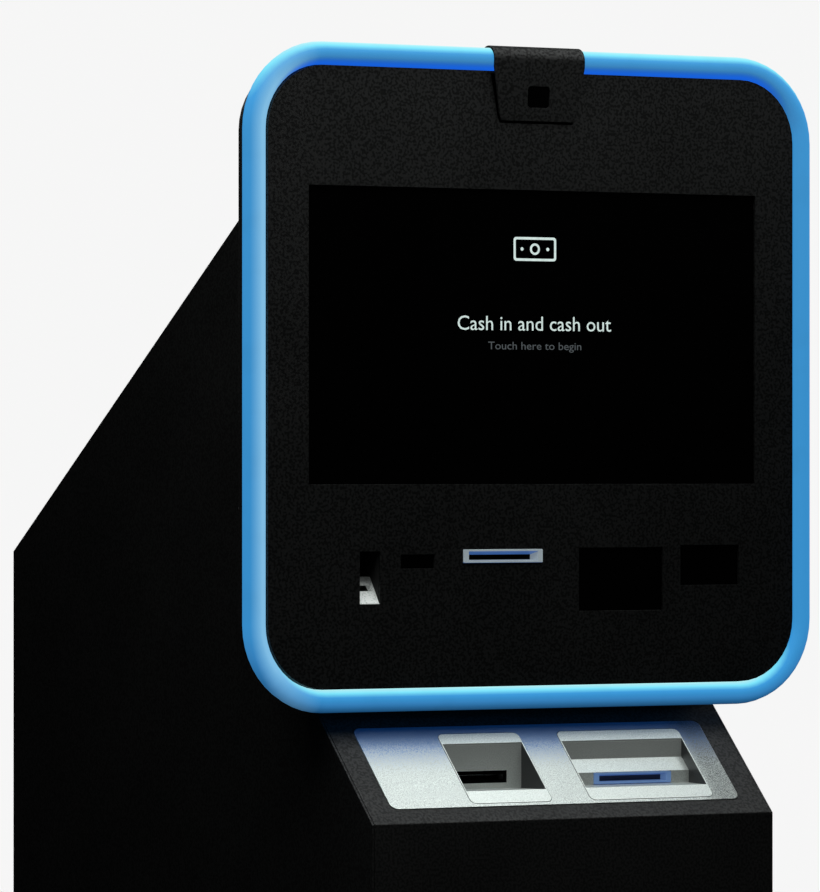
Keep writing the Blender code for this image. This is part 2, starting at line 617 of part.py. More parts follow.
def make_safe():
    """Welded steel box with its open side to the rear, and a slot for notes in its top."""
    rear = REAR_Y - SAFE_DOOR_THICKNESS - SAFE_DOOR_CLEARANCE
    safe = box("safe_body", (-HALF_IN, FRONT_Y + 0.060, 0.0063), (HALF_IN, rear, SAFE_TOP_Z), "safe_grey")
    cut(safe, box("safe_hollow", (-HALF_IN + SAFE_WALL, FRONT_Y + 0.060 + SAFE_WALL, 0.0063 + SAFE_WALL),
                  (HALF_IN - SAFE_WALL, rear + 0.05, SAFE_TOP_Z - SAFE_WALL)))
    cut(safe, box("safe_note_slot", (0.046, FACE_Y + 0.080, SAFE_TOP_Z - 0.02),
                  (0.154, FACE_Y + 0.135, SAFE_TOP_Z + 0.02)))
    for index, height in enumerate(BOLT_HEIGHTS):
        cut(safe, cylinder(f"bolt_hole_{index}", (0.190, BOLT_Y, height), (0.230, BOLT_Y, height), 0.0068))
    return safe


def make_safe_door():
    rear_low = REAR_Y - SAFE_DOOR_THICKNESS
    door = box("safe_door", (-HALF_IN, rear_low, 0.0070), (HALF_IN, REAR_Y, SAFE_TOP_Z + 0.010),
               "powder_black")
    reach = Vector((0, 0.03, 0))
    cut(door, cylinder("handle_shaft_hole", SAFE_HANDLE - reach, SAFE_HANDLE + reach, 0.0083))
    return door


def hinge_safe_door(door, safe):
    x, y = SAFE_HINGE.x, SAFE_HINGE.y
    for place, height in SAFE_HINGE_HEIGHTS.items():
        cut(door, box(f"safe_hinge_{place}_notch", (x - 0.010, y - 0.020, height - 0.0205),
                      (x + 0.0055, y + 0.010, height + 0.0205)))
        join(safe, box(f"safe_hinge_{place}_strap", (x - 0.0030, y - 0.0145, height - 0.0199),
                       (x + 0.0040, y, height + 0.0199)))
        ends = knuckle_hinge(f"safe_hinge_{place}", door, safe, SAFE_HINGE, (0, 0, 1), height,
                             0.004, 0.002, 0.040)
        cylinder(f"safe_hinge_{place}_pin", *ends, 0.002, "steel", 16)


def make_boltwork():
    """Handle, its shaft and crank, and the bar with three bolts that the crank throws."""

    def on_shaft(name, low, high, radius, finish=None):
        """A disc on the handle's shaft, between two distances behind the door's rear face."""
        start, end = SAFE_HANDLE + Vector((0, low, 0)), SAFE_HANDLE + Vector((0, high, 0))
        return cylinder(name, start, end, radius, finish)

    handle = on_shaft("safe_handle", -0.0115, 0.012, 0.008, "steel")
    join(handle, on_shaft("handle_crank", -0.0135, -0.0098, 0.018),
         on_shaft("handle_rose", GAP, 0.005, 0.017),
         box("handle_grip", (SAFE_HANDLE.x - 0.010, REAR_Y + 0.010, SAFE_HANDLE.z - 0.060),
             (SAFE_HANDLE.x + 0.010, REAR_Y + 0.022, SAFE_HANDLE.z + 0.060)))
    arm = box("bolt_arm", (SAFE_HANDLE.x - 0.004, BOLT_Y - 0.003, SAFE_HANDLE.z - 0.008),
              (0.165, BOLT_Y + 0.003, SAFE_HANDLE.z + 0.008))
    bar = box("bolt_bar", (0.160, BOLT_Y - 0.005, 0.100), (0.176, BOLT_Y + 0.005, 0.640), "steel")
    join(bar, arm)
    for index, height in enumerate(BOLT_HEIGHTS):
        join(bar, cylinder(f"bolt_{index}", (0.168, BOLT_Y, height), (0.205, BOLT_Y, height), 0.006))
    return handle, bar


def make_dispenser():
    """Two-cassette dispenser in the safe, and the transport that lifts notes to the tray."""
    y0 = FRONT_Y + 0.080
    rack = box("dispenser_rack", (-0.140, y0, 0.0140), (0.180, y0 + 0.560, 0.660), "zinc")
    cut(rack, box("rack_bay_lower", (-0.136, y0 + 0.004, 0.020), (0.176, y0 + 0.570, 0.230)),
        box("rack_bay_upper", (-0.136, y0 + 0.004, 0.236), (0.176, y0 + 0.570, 0.446)),
        box("rack_bay_reject", (-0.136, y0 + 0.260, 0.452), (0.176, y0 + 0.570, 0.656)),
        box("rack_throat", (0.050, y0 + 0.100, 0.600), (0.150, y0 + 0.140, 0.700)))
    for index, low in enumerate((0.0205, 0.2365)):
        cassette = box(f"note_cassette_{index + 1}", (-0.132, y0 + 0.010, low),
                       (0.172, y0 + 0.520, low + 0.200), "plastic_black")
        cut(cassette, box(f"cassette_{index}_grip", (-0.050, y0 + 0.495, low + 0.080),
                          (0.090, y0 + 0.530, low + 0.140)))
    box("reject_box", (-0.132, y0 + 0.300, 0.4525), (0.172, y0 + 0.520, 0.600), "plastic_grey")
    riser_y = FACE_Y + 0.088
    box("note_riser", (0.052, riser_y, 0.6650), (0.148, riser_y + 0.040, 0.8970), "zinc")
    box("presenter", (0.052, FACE_Y - 0.0049, 0.8780), (0.148, riser_y - GAP, 0.8965), "plastic_black")


# ---------------------------------------------------------------- rear: panel, fan and inlet
def make_rear_panel():
    """Fixed panel between the safe door and the hatch, with a fan vent and the mains inlet."""
    rim = rounded_rect(-HALF_IN, HALF_IN, SAFE_TOP_Z + 0.0110, REAR_WALL_TOP_Z - 0.0065)
    vent = [rounded_rect(-0.11 - half, -0.11 + half, z - 0.003, z + 0.003)
            for z, half in ((0.962 + 0.013 * row, 0.052 - 0.0012 * (row - 4) ** 2) for row in range(9))]
    inlet = rounded_rect(0.110 - 0.0242, 0.110 + 0.0242, 0.800 - 0.0142, 0.800 + 0.0142)
    return front_plate("rear_panel", [rim, inlet] + vent, REAR_Y - SHEET, REAR_Y, "powder_black")


FAN_CENTRE = Vector((-0.110, REAR_Y - SHEET - GAP - 0.0125, 1.014))


def make_fan():
    x, y, z = FAN_CENTRE
    frame = front_plate("fan_frame", [rounded_rect(x - 0.060, x + 0.060, z - 0.060, z + 0.060, 0.006, 3),
                                      circle(x, z, 0.0565, 32)], y - 0.0125, y + 0.0125, "plastic_black")
    join(frame, box("fan_spider_h", (x - 0.058, y - 0.0124, z - 0.003), (x + 0.058, y - 0.0095, z + 0.003)),
         box("fan_spider_v", (x - 0.003, y - 0.0123, z - 0.058), (x + 0.003, y - 0.0096, z + 0.058)),
         cylinder("fan_boss", (x, y - 0.0122, z), (x, y - 0.0040, z), 0.0030, None, 16))
    rotor = cylinder("fan_rotor", (x, y - 0.0085, z), (x, y + 0.0110, z), 0.020, "plastic_black")
    for blade in range(7):
        turn = Matrix.Translation(FAN_CENTRE) @ Matrix.Rotation(math.tau * blade / 7, 4, "Y")
        twist = Matrix.Translation((0.036, 0.001, 0)) @ Matrix.Rotation(math.radians(38), 4, "X")
        join(rotor, box(f"fan_blade_{blade}", (-0.019, -0.0008, -0.0115), (0.018, 0.0008, 0.0115), None,
                        turn @ twist))
    cut(rotor, cylinder("fan_bearing", (x, y - 0.02, z), (x, y - 0.0035, z), 0.0034, None, 16))
    return frame, rotor


def make_inlet():
    """Appliance inlet with three pins in a hollow, screwed to the rear panel."""
    x, z = 0.110, 0.800
    inlet = box("mains_inlet", (x - 0.0238, REAR_Y - 0.024, z - 0.0138),
                (x + 0.0238, REAR_Y + 0.0008, z + 0.0138), "plastic_black")
    flange = rounded_rect(x - 0.032, x + 0.032, z - 0.020, z + 0.020, 0.004, 3)
    join(inlet, front_plate("inlet_flange", [flange], REAR_Y + GAP, REAR_Y + 0.003))
    cut(inlet, box("inlet_hollow", (x - 0.0125, REAR_Y - 0.016, z - 0.0085),
                   (x + 0.0125, REAR_Y + 0.02, z + 0.0085)))
    for index, offset in enumerate((-0.007, 0.0, 0.007)):
        join(inlet, box(f"inlet_pin_{index}", (x + offset - 0.001, REAR_Y - 0.017, z - 0.002),
                        (x + offset + 0.001, REAR_Y - 0.003, z + 0.002)))
    return inlet


# ---------------------------------------------------------------- sloping hatch
HATCH_HINGE = Vector((0.0, REAR_Y + 0.0030, REAR_WALL_TOP_Z - 0.0023))
HATCH_HINGE_PLACES = {"left": -0.140, "right": 0.140}


def make_hatch():
    rim = rounded_rect(-HALF_IN, HALF_IN, -0.002, BACK_LENGTH - 0.0035)
    return plane_plate("rear_hatch", [rim], BACK_FRAME, 0.0, SHEET, "powder_black")


def hinge_hatch(hatch, panel):
    y, z = HATCH_HINGE.y, HATCH_HINGE.z
    for place, across in HATCH_HINGE_PLACES.items():
        cut(hatch, box(f"hatch_hinge_{place}_notch", (across - 0.0255, y - 0.0075, z - 0.008),
                       (across + 0.0255, y + 0.006, z + 0.0085)))
        join(panel, box(f"hatch_hinge_{place}_leaf", (across - 0.0249, REAR_Y - 0.0010, z - 0.022),
                        (across + 0.0249, REAR_Y + 0.0015, z)))
        knuckle_hinge(f"hatch_hinge_{place}", hatch, panel, HATCH_HINGE, (1, 0, 0), across,
                      0.0035, 0.0015, 0.050)
    reach = Vector((0.195, 0, 0))
    cylinder("hatch_hinge_rod", HATCH_HINGE - reach, HATCH_HINGE + reach, 0.0015, "steel", 16)


HATCH_LOCK = (0.0, BACK_LENGTH - 0.060)


def make_hatch_lock(hatch):
    """Cam lock through the hatch; its cam turns under the tie bar."""
    x, s = HATCH_LOCK

    def through(name, below, above, radius, finish=None):
        """A disc on the lock's axis, from a height below the hatch's surface to one above it."""
        start, end = BACK_FRAME @ Vector((x, s, -below)), BACK_FRAME @ Vector((x, s, above))
        return cylinder(name, start, end, radius, finish)

    cut(hatch, through("hatch_lock_hole", 0.024, 0.012, 0.0093))
    lock = through("hatch_lock", 0.0240, 0.0022, 0.009, "steel")
    join(lock, through("hatch_lock_rim", -GAP, 0.0028, 0.0115),
         box("hatch_lock_cam", (x, s - 0.005, -0.0239), (x + 0.036, s + 0.005, -0.0212), None, BACK_FRAME))
    cut(lock, box("hatch_lock_key_slot", (x - 0.0045, s - 0.0008, 0.0016), (x + 0.0045, s + 0.0008, 0.01),
                  None, BACK_FRAME))
    box("tie_bar", (-HALF_IN, BACK_LENGTH - 0.032, -0.0205), (HALF_IN, BACK_LENGTH - 0.0140, -0.0035),
        "zinc", BACK_FRAME)
    return lock


# ---------------------------------------------------------------- electronics and printer
def make_electronics():
    low = EQUIPMENT_SHELF_Z + 0.002 + GAP
    box("computer", (-0.200, REAR_Y - 0.330, low), (-0.030, REAR_Y - 0.080, low + 0.070), "zinc")
    box("power_supply", (0.050, REAR_Y - 0.280, low), (0.160, REAR_Y - 0.080, low + 0.050), "zinc")
    box("modem", (-0.010, REAR_Y - 0.250, low), (0.035, REAR_Y - 0.130, low + 0.028), "plastic_black")


PAPER_AXIS = Vector((-0.0618, FACE_Y + 0.073, 0.8560))
PLATEN_AXIS = Vector((-0.0618, FACE_Y + 0.0200, 0.8930))


def make_printer():
    """Receipt printer: cheeks on a base, a paper roll, a platen roller and a print head."""
    low = EQUIPMENT_SHELF_Z + 0.002 + GAP
    cheek = [(FACE_Y + 0.009, low), (FACE_Y + 0.116, low), (FACE_Y + 0.116, 0.880), (FACE_Y + 0.080, 0.915),
             (FACE_Y + 0.009, 0.915)]
    x0, x1 = PAPER_AXIS.x - 0.0325, PAPER_AXIS.x + 0.0325
    frame = side_plate("printer_frame", [cheek], x0, x1, "plastic_grey")
    cut(frame, box("printer_hollow", (x0 + 0.003, FACE_Y, low + 0.003), (x1 - 0.003, FACE_Y + 0.13, 0.93)))
    join(frame, box("printer_back", (x0 + 0.001, FACE_Y + 0.1135, low + 0.001),
                    (x1 - 0.001, FACE_Y + 0.1159, 0.840)))
    half, reach = Vector((0.0285, 0, 0)), Vector((0.0315, 0, 0))
    platen = cylinder("platen_roller", PLATEN_AXIS - half, PLATEN_AXIS + half, 0.006, "rubber")
    join(platen, cylinder("platen_shaft", PLATEN_AXIS - reach, PLATEN_AXIS + reach, 0.0020, None, 16))
    roll = cylinder("paper_roll", PAPER_AXIS - half, PAPER_AXIS + half, 0.038, "paper", 40)
    join(roll, cylinder("paper_core", PAPER_AXIS - reach, PAPER_AXIS + reach, 0.0060, None, 20))
    for axis, radius in ((PLATEN_AXIS, 0.0023), (PAPER_AXIS, 0.0063)):
        cut(frame, cylinder(f"printer_bearing_{int(radius * 10000)}", axis - Vector((0.0320, 0, 0)),
                            axis + Vector((0.0320, 0, 0)), radius, None, 20))
    head = box("print_head", (x0 + 0.0033, PLATEN_AXIS.y - 0.008, PLATEN_AXIS.z + 0.0065),
               (x1 - 0.0033, PLATEN_AXIS.y + 0.010, PLATEN_AXIS.z + 0.0125), "steel")
    return frame, platen, roll, head


# ---------------------------------------------------------------- assembly
def build():
    make_cabinet()
    make_equipment_shelf()
    shutter = make_tray()
    hang(pivot("shutter_pivot", Vector((0.101, FACE_Y - 0.006, 0.8943))), shutter)
    housing = make_housing()
    frame = make_door_frame()
    lock, lock_axis = make_head_lock(housing, frame)
    hinge_head_door(frame, housing)

    head_door = pivot("head_door_pivot", HEAD_HINGE)
    hang(head_door, frame, make_face(), make_light_tube(), *make_screen(), *make_camera(),
         *make_customer_devices(), *make_note_acceptor())
    hang(pivot("head_lock_pivot", lock_axis), lock)

    safe = make_safe()
    door = make_safe_door()
    hinge_safe_door(door, safe)
    handle, bar = make_boltwork()
    hang(pivot("safe_door_pivot", SAFE_HINGE), door)
    hang(pivot("safe_handle_pivot", SAFE_HANDLE), handle)
    hang(pivot("bolt_bar_pivot", Vector((0.168, BOLT_Y, BOLT_HEIGHTS[1]))), bar)
    make_dispenser()

    panel = make_rear_panel()
    rotor = make_fan()[1]
    hang(pivot("fan_pivot", FAN_CENTRE), rotor)
    make_inlet()
    hatch = make_hatch()
    hatch_lock = make_hatch_lock(hatch)
    hinge_hatch(hatch, panel)
    hang(pivot("hatch_pivot", HATCH_HINGE), hatch)
    hang(pivot("hatch_lock_pivot", BACK_FRAME @ Vector((*HATCH_LOCK, 0))), hatch_lock)

    make_electronics()
    printer_frame, platen, roll, head = make_printer()
    hang(pivot("platen_pivot", PLATEN_AXIS), platen)
    hang(pivot("paper_pivot", PAPER_AXIS), roll)


build()
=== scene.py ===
"""Looks of the floor-standing cash kiosk: finishes, screen picture, fixings, wiring, light and camera."""
import json
import math

import bmesh
import bpy
from mathutils import Matrix, Vector


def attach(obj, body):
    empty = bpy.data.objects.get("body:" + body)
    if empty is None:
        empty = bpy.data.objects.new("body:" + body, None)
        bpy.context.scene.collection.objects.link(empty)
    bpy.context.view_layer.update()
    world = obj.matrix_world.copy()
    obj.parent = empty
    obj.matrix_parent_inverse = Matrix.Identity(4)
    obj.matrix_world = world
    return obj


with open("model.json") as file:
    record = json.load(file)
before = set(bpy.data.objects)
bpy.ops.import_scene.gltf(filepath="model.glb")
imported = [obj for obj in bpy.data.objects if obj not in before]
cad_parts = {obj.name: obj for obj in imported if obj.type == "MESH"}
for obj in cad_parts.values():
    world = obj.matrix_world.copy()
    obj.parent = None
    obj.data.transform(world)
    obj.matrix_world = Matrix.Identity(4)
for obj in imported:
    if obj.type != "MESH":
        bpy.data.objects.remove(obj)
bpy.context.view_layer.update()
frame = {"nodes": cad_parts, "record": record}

# ---------------------------------------------------------------- dimensions shared with the frame
FACE_Y = -0.3145
REAR_Y = 0.3655
HEAD_Z = 1.2808
SCREEN_Y = FACE_Y + 0.0033
PICTURE_Y = SCREEN_Y - 0.00012
RAMP_TOE_Y, RAMP_TOE_Z = -0.3139, 1.0653
RAMP_RUN_PER_RISE = 1.0965
PAPER_AXIS_Y, PAPER_AXIS_Z = -0.2415, 0.856
LCD_BACK_Y = -0.2879
VALIDATOR_BACK_Y = -0.1645
STACKER_BACK_Y = -0.1445
RISER_BACK_Y = -0.1865
PRINTER_BACK_Y = -0.1985
PRINTER_LEFT_X = -0.0943
COMPUTER_TOP_Z = 0.7943
EQUIPMENT_REAR_Y = 0.2855
MODEM_REAR_Y = 0.2355
SUPPLY_TOP_Z = 0.7743
CASSETTE_REAR_Y = 0.2125
RACK_REAR_Y = 0.2525
SAFE_LOCK = (0.105, REAR_Y, 0.520)
DOOR_INNER_Y = 0.3569
BOLT_HEIGHTS = (0.120, 0.400, 0.620)
INLET_X, INLET_Z = 0.110, 0.800
FAN_X, FAN_Z = -0.110, 1.014


# ---------------------------------------------------------------- node trees
class Finish:
    """A material built from short node calls; colours are linear."""

    def __init__(self, name):
        self.material = bpy.data.materials.new(name)
        self.material.use_nodes = True
        self.tree = self.material.node_tree
        self.shader = self.tree.nodes["Principled BSDF"]
        self.place = self.add("TexCoord").outputs["Object"]

    def add(self, kind, inputs=None, **settings):
        made = self.tree.nodes.new("ShaderNode" + kind)
        for key, value in settings.items():
            setattr(made, key, value)
        for key, value in (inputs or {}).items():
            self.plug(made.inputs[key], value)
        return made

    def plug(self, socket, value):
        if isinstance(value, bpy.types.NodeSocket):
            self.tree.links.new(value, socket)
        else:
            socket.default_value = value

    def set(self, **inputs):
        for key, value in inputs.items():
            self.plug(self.shader.inputs[key.replace("_", " ")], value)
        return self

    def math(self, operation, a, b):
        return self.add("Math", {0: a, 1: b}, operation=operation).outputs[0]

    def stretched(self, x, y, z):
        return self.add("Mapping", {"Vector": self.place, "Scale": (x, y, z)}).outputs[0]

    def noise(self, scale, detail=2.0, place=None, roughness=0.5):
        inputs = {"Vector": place or self.place, "Scale": scale, "Detail": detail, "Roughness": roughness}
        return self.add("TexNoise", inputs).outputs["Fac"]

    def between(self, fac, low, high, start=0.0, end=1.0):
        inputs = {"Value": fac, "From Min": start, "From Max": end, "To Min": low, "To Max": high}
        return self.add("MapRange", inputs).outputs[0]

    def mix(self, fac, a, b):
        made = self.add("Mix", data_type="RGBA")
        self.plug(made.inputs[0], fac)
        self.plug(made.inputs[6], a)
        self.plug(made.inputs[7], b)
        return made.outputs[2]

    def ramp(self, fac, *stops):
        made = self.add("ValToRGB", {"Fac": fac})
        band = made.color_ramp
        while len(band.elements) < len(stops):
            band.elements.new(0.5)
        for element, (position, colour) in zip(band.elements, stops):
            element.position = position
            element.color = (*colour, 1.0)
        return made.outputs["Color"]

    def bump(self, height, strength, distance):
        return self.add("Bump", {"Height": height, "Strength": strength, "Distance": distance}).outputs[0]


def rgba(colour, scale=1.0):
    return (colour[0] * scale, colour[1] * scale, colour[2] * scale, 1.0)


def powder(name, colour, rough=0.55, grain=0.55, shine=0.42):
    """Powder coat: fine leathery grain, slight specks and a trace of handling."""
    f = Finish(name)
    fine = f.noise(400.0, 0.0)
    coarse = f.noise(9.0, 3.0)
    speck = f.between(fine, 1.0 - grain, 1.0 + grain, 0.38, 0.62)
    wear = f.between(coarse, 0.90, 1.08, 0.3, 0.7)
    level = f.math("MULTIPLY", speck, wear)
    tint = f.mix(level, (0.0, 0.0, 0.0, 1.0), rgba(colour))
    leather = f.noise(1500.0, 2.0)
    roughness = f.between(coarse, rough - 0.05, rough + 0.07, 0.3, 0.7)
    return f.set(Base_Color=tint, Roughness=roughness,
                 Specular_IOR_Level=f.math("MULTIPLY", speck, shine),
                 Normal=f.bump(leather, 0.35, 0.0004)).material


def metallic_paint(name):
    """Silver paint with flakes, with a painted shadow and a painted blue reflection of the light tube at the
    shelf's rear edge, and painted shade with specks at its right end.
    """
    f = Finish(name)
    flake = f.noise(1100.0, 1.0)
    cloud = f.noise(14.0, 3.0)
    tint = f.mix(f.between(flake, 0.0, 1.0, 0.30, 0.70), (0.42, 0.455, 0.445, 1.0), (0.92, 0.985, 0.95, 1.0))
    tint = f.mix(f.between(cloud, 0.0, 0.12, 0.3, 0.7), tint, (0.40, 0.42, 0.42, 1.0))
    place = f.add("SeparateXYZ", {"Vector": f.place}).outputs
    # painted shadow of the head with a painted blue reflection of the light tube over the rear of the plate
    rear = f.math("ADD", place[1], f.between(flake, -0.010, 0.010, 0.35, 0.65))
    tint = f.mix(f.between(rear, 0.0, 0.9, -0.334, -0.310), tint, (0.105, 0.205, 0.430, 1.0))
    # painted shade over the plate's right end, broken up by the flakes
    end = f.between(place[0], 0.0, 0.62, 0.150, 0.175)
    end = f.math("MULTIPLY", end, f.between(flake, 1.2, 0.6, 0.4, 0.6))
    tint = f.mix(end, tint, (0.05, 0.055, 0.055, 1.0))
    return f.set(Base_Color=tint, Metallic=0.75, Roughness=f.between(flake, 0.34, 0.52, 0.3, 0.7),
                 Normal=f.bump(flake, 0.35, 0.0004)).material


def pocket_paint(name):
    """Silver paint of the folded pockets, with painted light on faces that look up, painted shade on the
    walls, and a painted shadow on the walls that face left.
    """
    f = Finish(name)
    facing = f.add("SeparateXYZ", {"Vector": f.add("NewGeometry").outputs["Normal"]}).outputs
    fleck = f.noise(1100.0, 1.0)
    grain = f.between(fleck, 0.0, 1.0, 0.30, 0.70)
    # painted light on the faces that look up, painted shade on the walls
    painted_light_facing_up = f.between(facing[2], 0.0, 1.0, 0.30, 0.60)
    painted_lit_silver = f.mix(grain, (0.66, 0.71, 0.68, 1.0), (0.94, 1.0, 0.97, 1.0))
    painted_shade_silver = f.mix(grain, (0.30, 0.315, 0.305, 1.0), (0.46, 0.48, 0.465, 1.0))
    tint = f.mix(painted_light_facing_up, painted_shade_silver, painted_lit_silver)
    # painted shadow: the walls that face left, away from the light, go near black
    tint = f.mix(f.between(facing[0], 0.93, 0.0, -0.85, -0.35), tint, (0.012, 0.012, 0.013, 1.0))
    return f.set(Base_Color=tint, Metallic=f.math("MULTIPLY", painted_light_facing_up, 0.75), Roughness=0.46,
                 Normal=f.bump(fleck, 0.3, 0.0003)).material


def plastic(name, colour, rough=0.42, grain=900.0):
    """Moulded plastic with spark-eroded texture."""
    f = Finish(name)
    fine = f.noise(grain, 2.0)
    cloud = f.noise(20.0, 3.0)
    tint = f.mix(f.between(cloud, 0.85, 1.1, 0.3, 0.7), (0.0, 0.0, 0.0, 1.0), rgba(colour))
    return f.set(Base_Color=tint, Roughness=f.between(cloud, rough - 0.06, rough + 0.08, 0.3, 0.7),
                 Normal=f.bump(fine, 0.25, 0.0003)).material


def metal(name, colour, rough, direction, streak=0.12, spangle=0.0):
    """Drawn or plated metal: streaks along a direction, and spangles where it is zinc."""
    f = Finish(name)
    lines = f.noise(60.0, 3.0, f.stretched(*direction))
    cloud = f.noise(18.0, 3.0)
    if spangle:
        cells = f.add("TexVoronoi", {"Vector": f.place, "Scale": 90.0}).outputs["Color"]
        cloud = f.math("ADD", f.math("MULTIPLY", cloud, 1.0 - spangle), f.math("MULTIPLY", cells, spangle))
    tint = f.mix(f.between(cloud, 0.0, 1.0, 0.25, 0.75), rgba(colour, 0.82), rgba(colour, 1.08))
    roughness = f.between(lines, rough - streak, rough + streak, 0.3, 0.7)
    return f.set(Base_Color=tint, Metallic=0.92, Roughness=roughness,
                 Normal=f.bump(lines, 0.08, 0.0005)).material


def glass_black(name, colour=(0.0004, 0.0004, 0.0004), rough=0.06):
    """Dark glass with faint finger haze."""
    f = Finish(name)
    haze = f.noise(26.0, 5.0, roughness=0.65)
    tint = f.mix(f.between(haze, 0.0, 0.25, 0.5, 0.75), rgba(colour), rgba(colour, 2.2))
    return f.set(Base_Color=tint, Roughness=f.between(haze, rough, rough + 0.12, 0.45, 0.8),
                 Specular_IOR_Level=0.25).material


def tube_light(name):
    """Lit diffuser: deep blue glow at the sides, with a painted highlight on faces that look up, painted
    light on the inner side of the left run, and painted shade underneath.
    """
    f = Finish(name)
    facing = f.add("SeparateXYZ", {"Vector": f.add("NewGeometry").outputs["Normal"]}).outputs
    place = f.add("SeparateXYZ", {"Vector": f.place}).outputs
    # the tube's blue glow, with a painted highlight on faces that look up and painted shade on faces that
    # look down
    glow = f.ramp(f.between(facing[2], 0.0, 1.0, -1.0, 1.0),
                  (0.0, (0.008, 0.055, 0.140)), (0.36, (0.034, 0.215, 0.500)), (0.5, (0.032, 0.255, 0.575)),
                  (0.66, (0.038, 0.310, 0.700)), (0.85, (0.190, 0.760, 0.950)), (1.0, (0.460, 0.870, 0.920)))
    # painted light from the key on the inner side of the left run
    left = f.between(place[0], 1.0, 0.0, -0.29, -0.24)
    painted_key_light_left = f.math("MULTIPLY", left, f.between(facing[0], 0.0, 0.75, -0.75, 0.30))
    glow = f.mix(painted_key_light_left, glow, (0.260, 0.560, 0.800, 1.0))
    # the top run's underside keeps a deep blue glow in place of the painted shade
    above = f.between(place[2], 0.0, 1.0, HEAD_Z + 0.24, HEAD_Z + 0.29)
    below = f.math("MULTIPLY", above, f.between(facing[2], 0.8, 0.0, -0.85, -0.35))
    glow = f.mix(below, glow, (0.008, 0.130, 0.830, 1.0))
    glow = f.mix(f.between(f.noise(30.0, 2.0), 0.96, 1.04, 0.3, 0.7), (0.0, 0.0, 0.0, 1.0), glow)
    return f.set(Base_Color=(0.03, 0.05, 0.05, 1.0), Roughness=0.5, Specular_IOR_Level=0.0,
                 Emission_Color=glow, Emission_Strength=1.0,
                 Normal=f.bump(f.noise(1200.0, 1.0), 0.06, 0.0002)).material


def lit_bezel(name, front, inside):
    """Milky moulding lit from inside; the walls that face down into its mouth are the bluest."""
    f = Finish(name)
    facing = f.add("SeparateXYZ", {"Vector": f.add("NewGeometry").outputs["Normal"]}).outputs
    ceiling = f.between(facing[2], 1.0, 0.0, -0.5, -0.12)
    glow = f.mix(ceiling, rgba(front), rgba(inside))
    glow = f.mix(f.between(f.noise(60.0, 2.0), 0.85, 1.1, 0.3, 0.7), (0.0, 0.0, 0.0, 1.0), glow)
    return f.set(Base_Color=f.mix(ceiling, rgba(front, 1.7), rgba(inside, 0.5)), Roughness=0.4,
                 Emission_Color=glow, Emission_Strength=1.0,
                 Normal=f.bump(f.noise(900.0, 1.0), 0.15, 0.0003)).material


def ramp_paint(name):
    """Silver paint on the small ramp, with painted light and glow at its foot that fade up the slope; the
    notch cut into it is painted dark as shade.
    """
    f = Finish(name)
    fleck = f.noise(700.0, 1.0)
    place = f.add("SeparateXYZ", {"Vector": f.place}).outputs
    up = place[2]
    risen = f.math("MULTIPLY", f.math("SUBTRACT", up, RAMP_TOE_Z), RAMP_RUN_PER_RISE)
    depth = f.math("SUBTRACT", f.math("SUBTRACT", place[1], RAMP_TOE_Y), risen)
    # painted shade in the notch: below the ramp's surface the flecks, light and glow drop away
    fleck = f.math("MULTIPLY", fleck, f.between(depth, 1.0, 0.0, 0.0010, 0.0018))
    # painted light and glow pooling at the ramp's foot, fading up the slope
    painted_light_at_foot = f.math("MULTIPLY", f.between(up, 1.0, 0.12, 1.074, 1.088), f.between(fleck, 0.0, 1.15, 0.0, 0.6))
    tint = f.mix(painted_light_at_foot, (0.03, 0.03, 0.03, 1.0), (0.94, 0.98, 0.96, 1.0))
    glow = f.mix(painted_light_at_foot, (0.0, 0.0, 0.0, 1.0), (0.13, 0.14, 0.135, 1.0))
    return f.set(Base_Color=tint, Roughness=0.5, Emission_Color=glow, Emission_Strength=1.0,
                 Normal=f.bump(fleck, 0.3, 0.0003)).material


def lamp(name, colour, strength):
    """Small light source with slightly uneven glow."""
    f = Finish(name)
    glow = f.mix(f.between(f.noise(220.0, 2.0), 0.0, 0.5, 0.3, 0.7), rgba(colour), rgba(colour, 0.6))
    return f.set(Base_Color=rgba(colour, 0.3), Roughness=0.4, Emission_Color=glow,
                 Emission_Strength=strength).material


def paper(name):
    """Wound thermal paper: the ends show the turns."""
    f = Finish(name)
    centred = f.add("Mapping", {"Vector": f.place, "Location": (0, -PAPER_AXIS_Y, -PAPER_AXIS_Z)}).outputs[0]
    rings = f.add("TexWave", {"Vector": centred, "Scale": 190.0, "Distortion": 0.4},
                  wave_type="RINGS", rings_direction="X").outputs["Fac"]
    tint = f.mix(f.between(rings, 0.0, 1.0), (0.80, 0.80, 0.76, 1.0), (0.66, 0.66, 0.62, 1.0))
    return f.set(Base_Color=tint, Roughness=0.8, Normal=f.bump(rings, 0.15, 0.0003)).material


def board(name):
    """Circuit board: mask over tracks."""
    f = Finish(name)
    tracks = f.add("TexBrick", {"Vector": f.place, "Scale": 190.0, "Color1": (0.010, 0.075, 0.035, 1),
                                "Color2": (0.014, 0.100, 0.045, 1), "Mortar": (0.030, 0.170, 0.080, 1),
                                "Mortar Size": 0.035}).outputs["Color"]
    tint = f.mix(f.between(f.noise(160.0, 3.0), 0.0, 0.6, 0.4, 0.6), tracks, (0.008, 0.060, 0.028, 1.0))
    return f.set(Base_Color=tint, Roughness=0.35).material


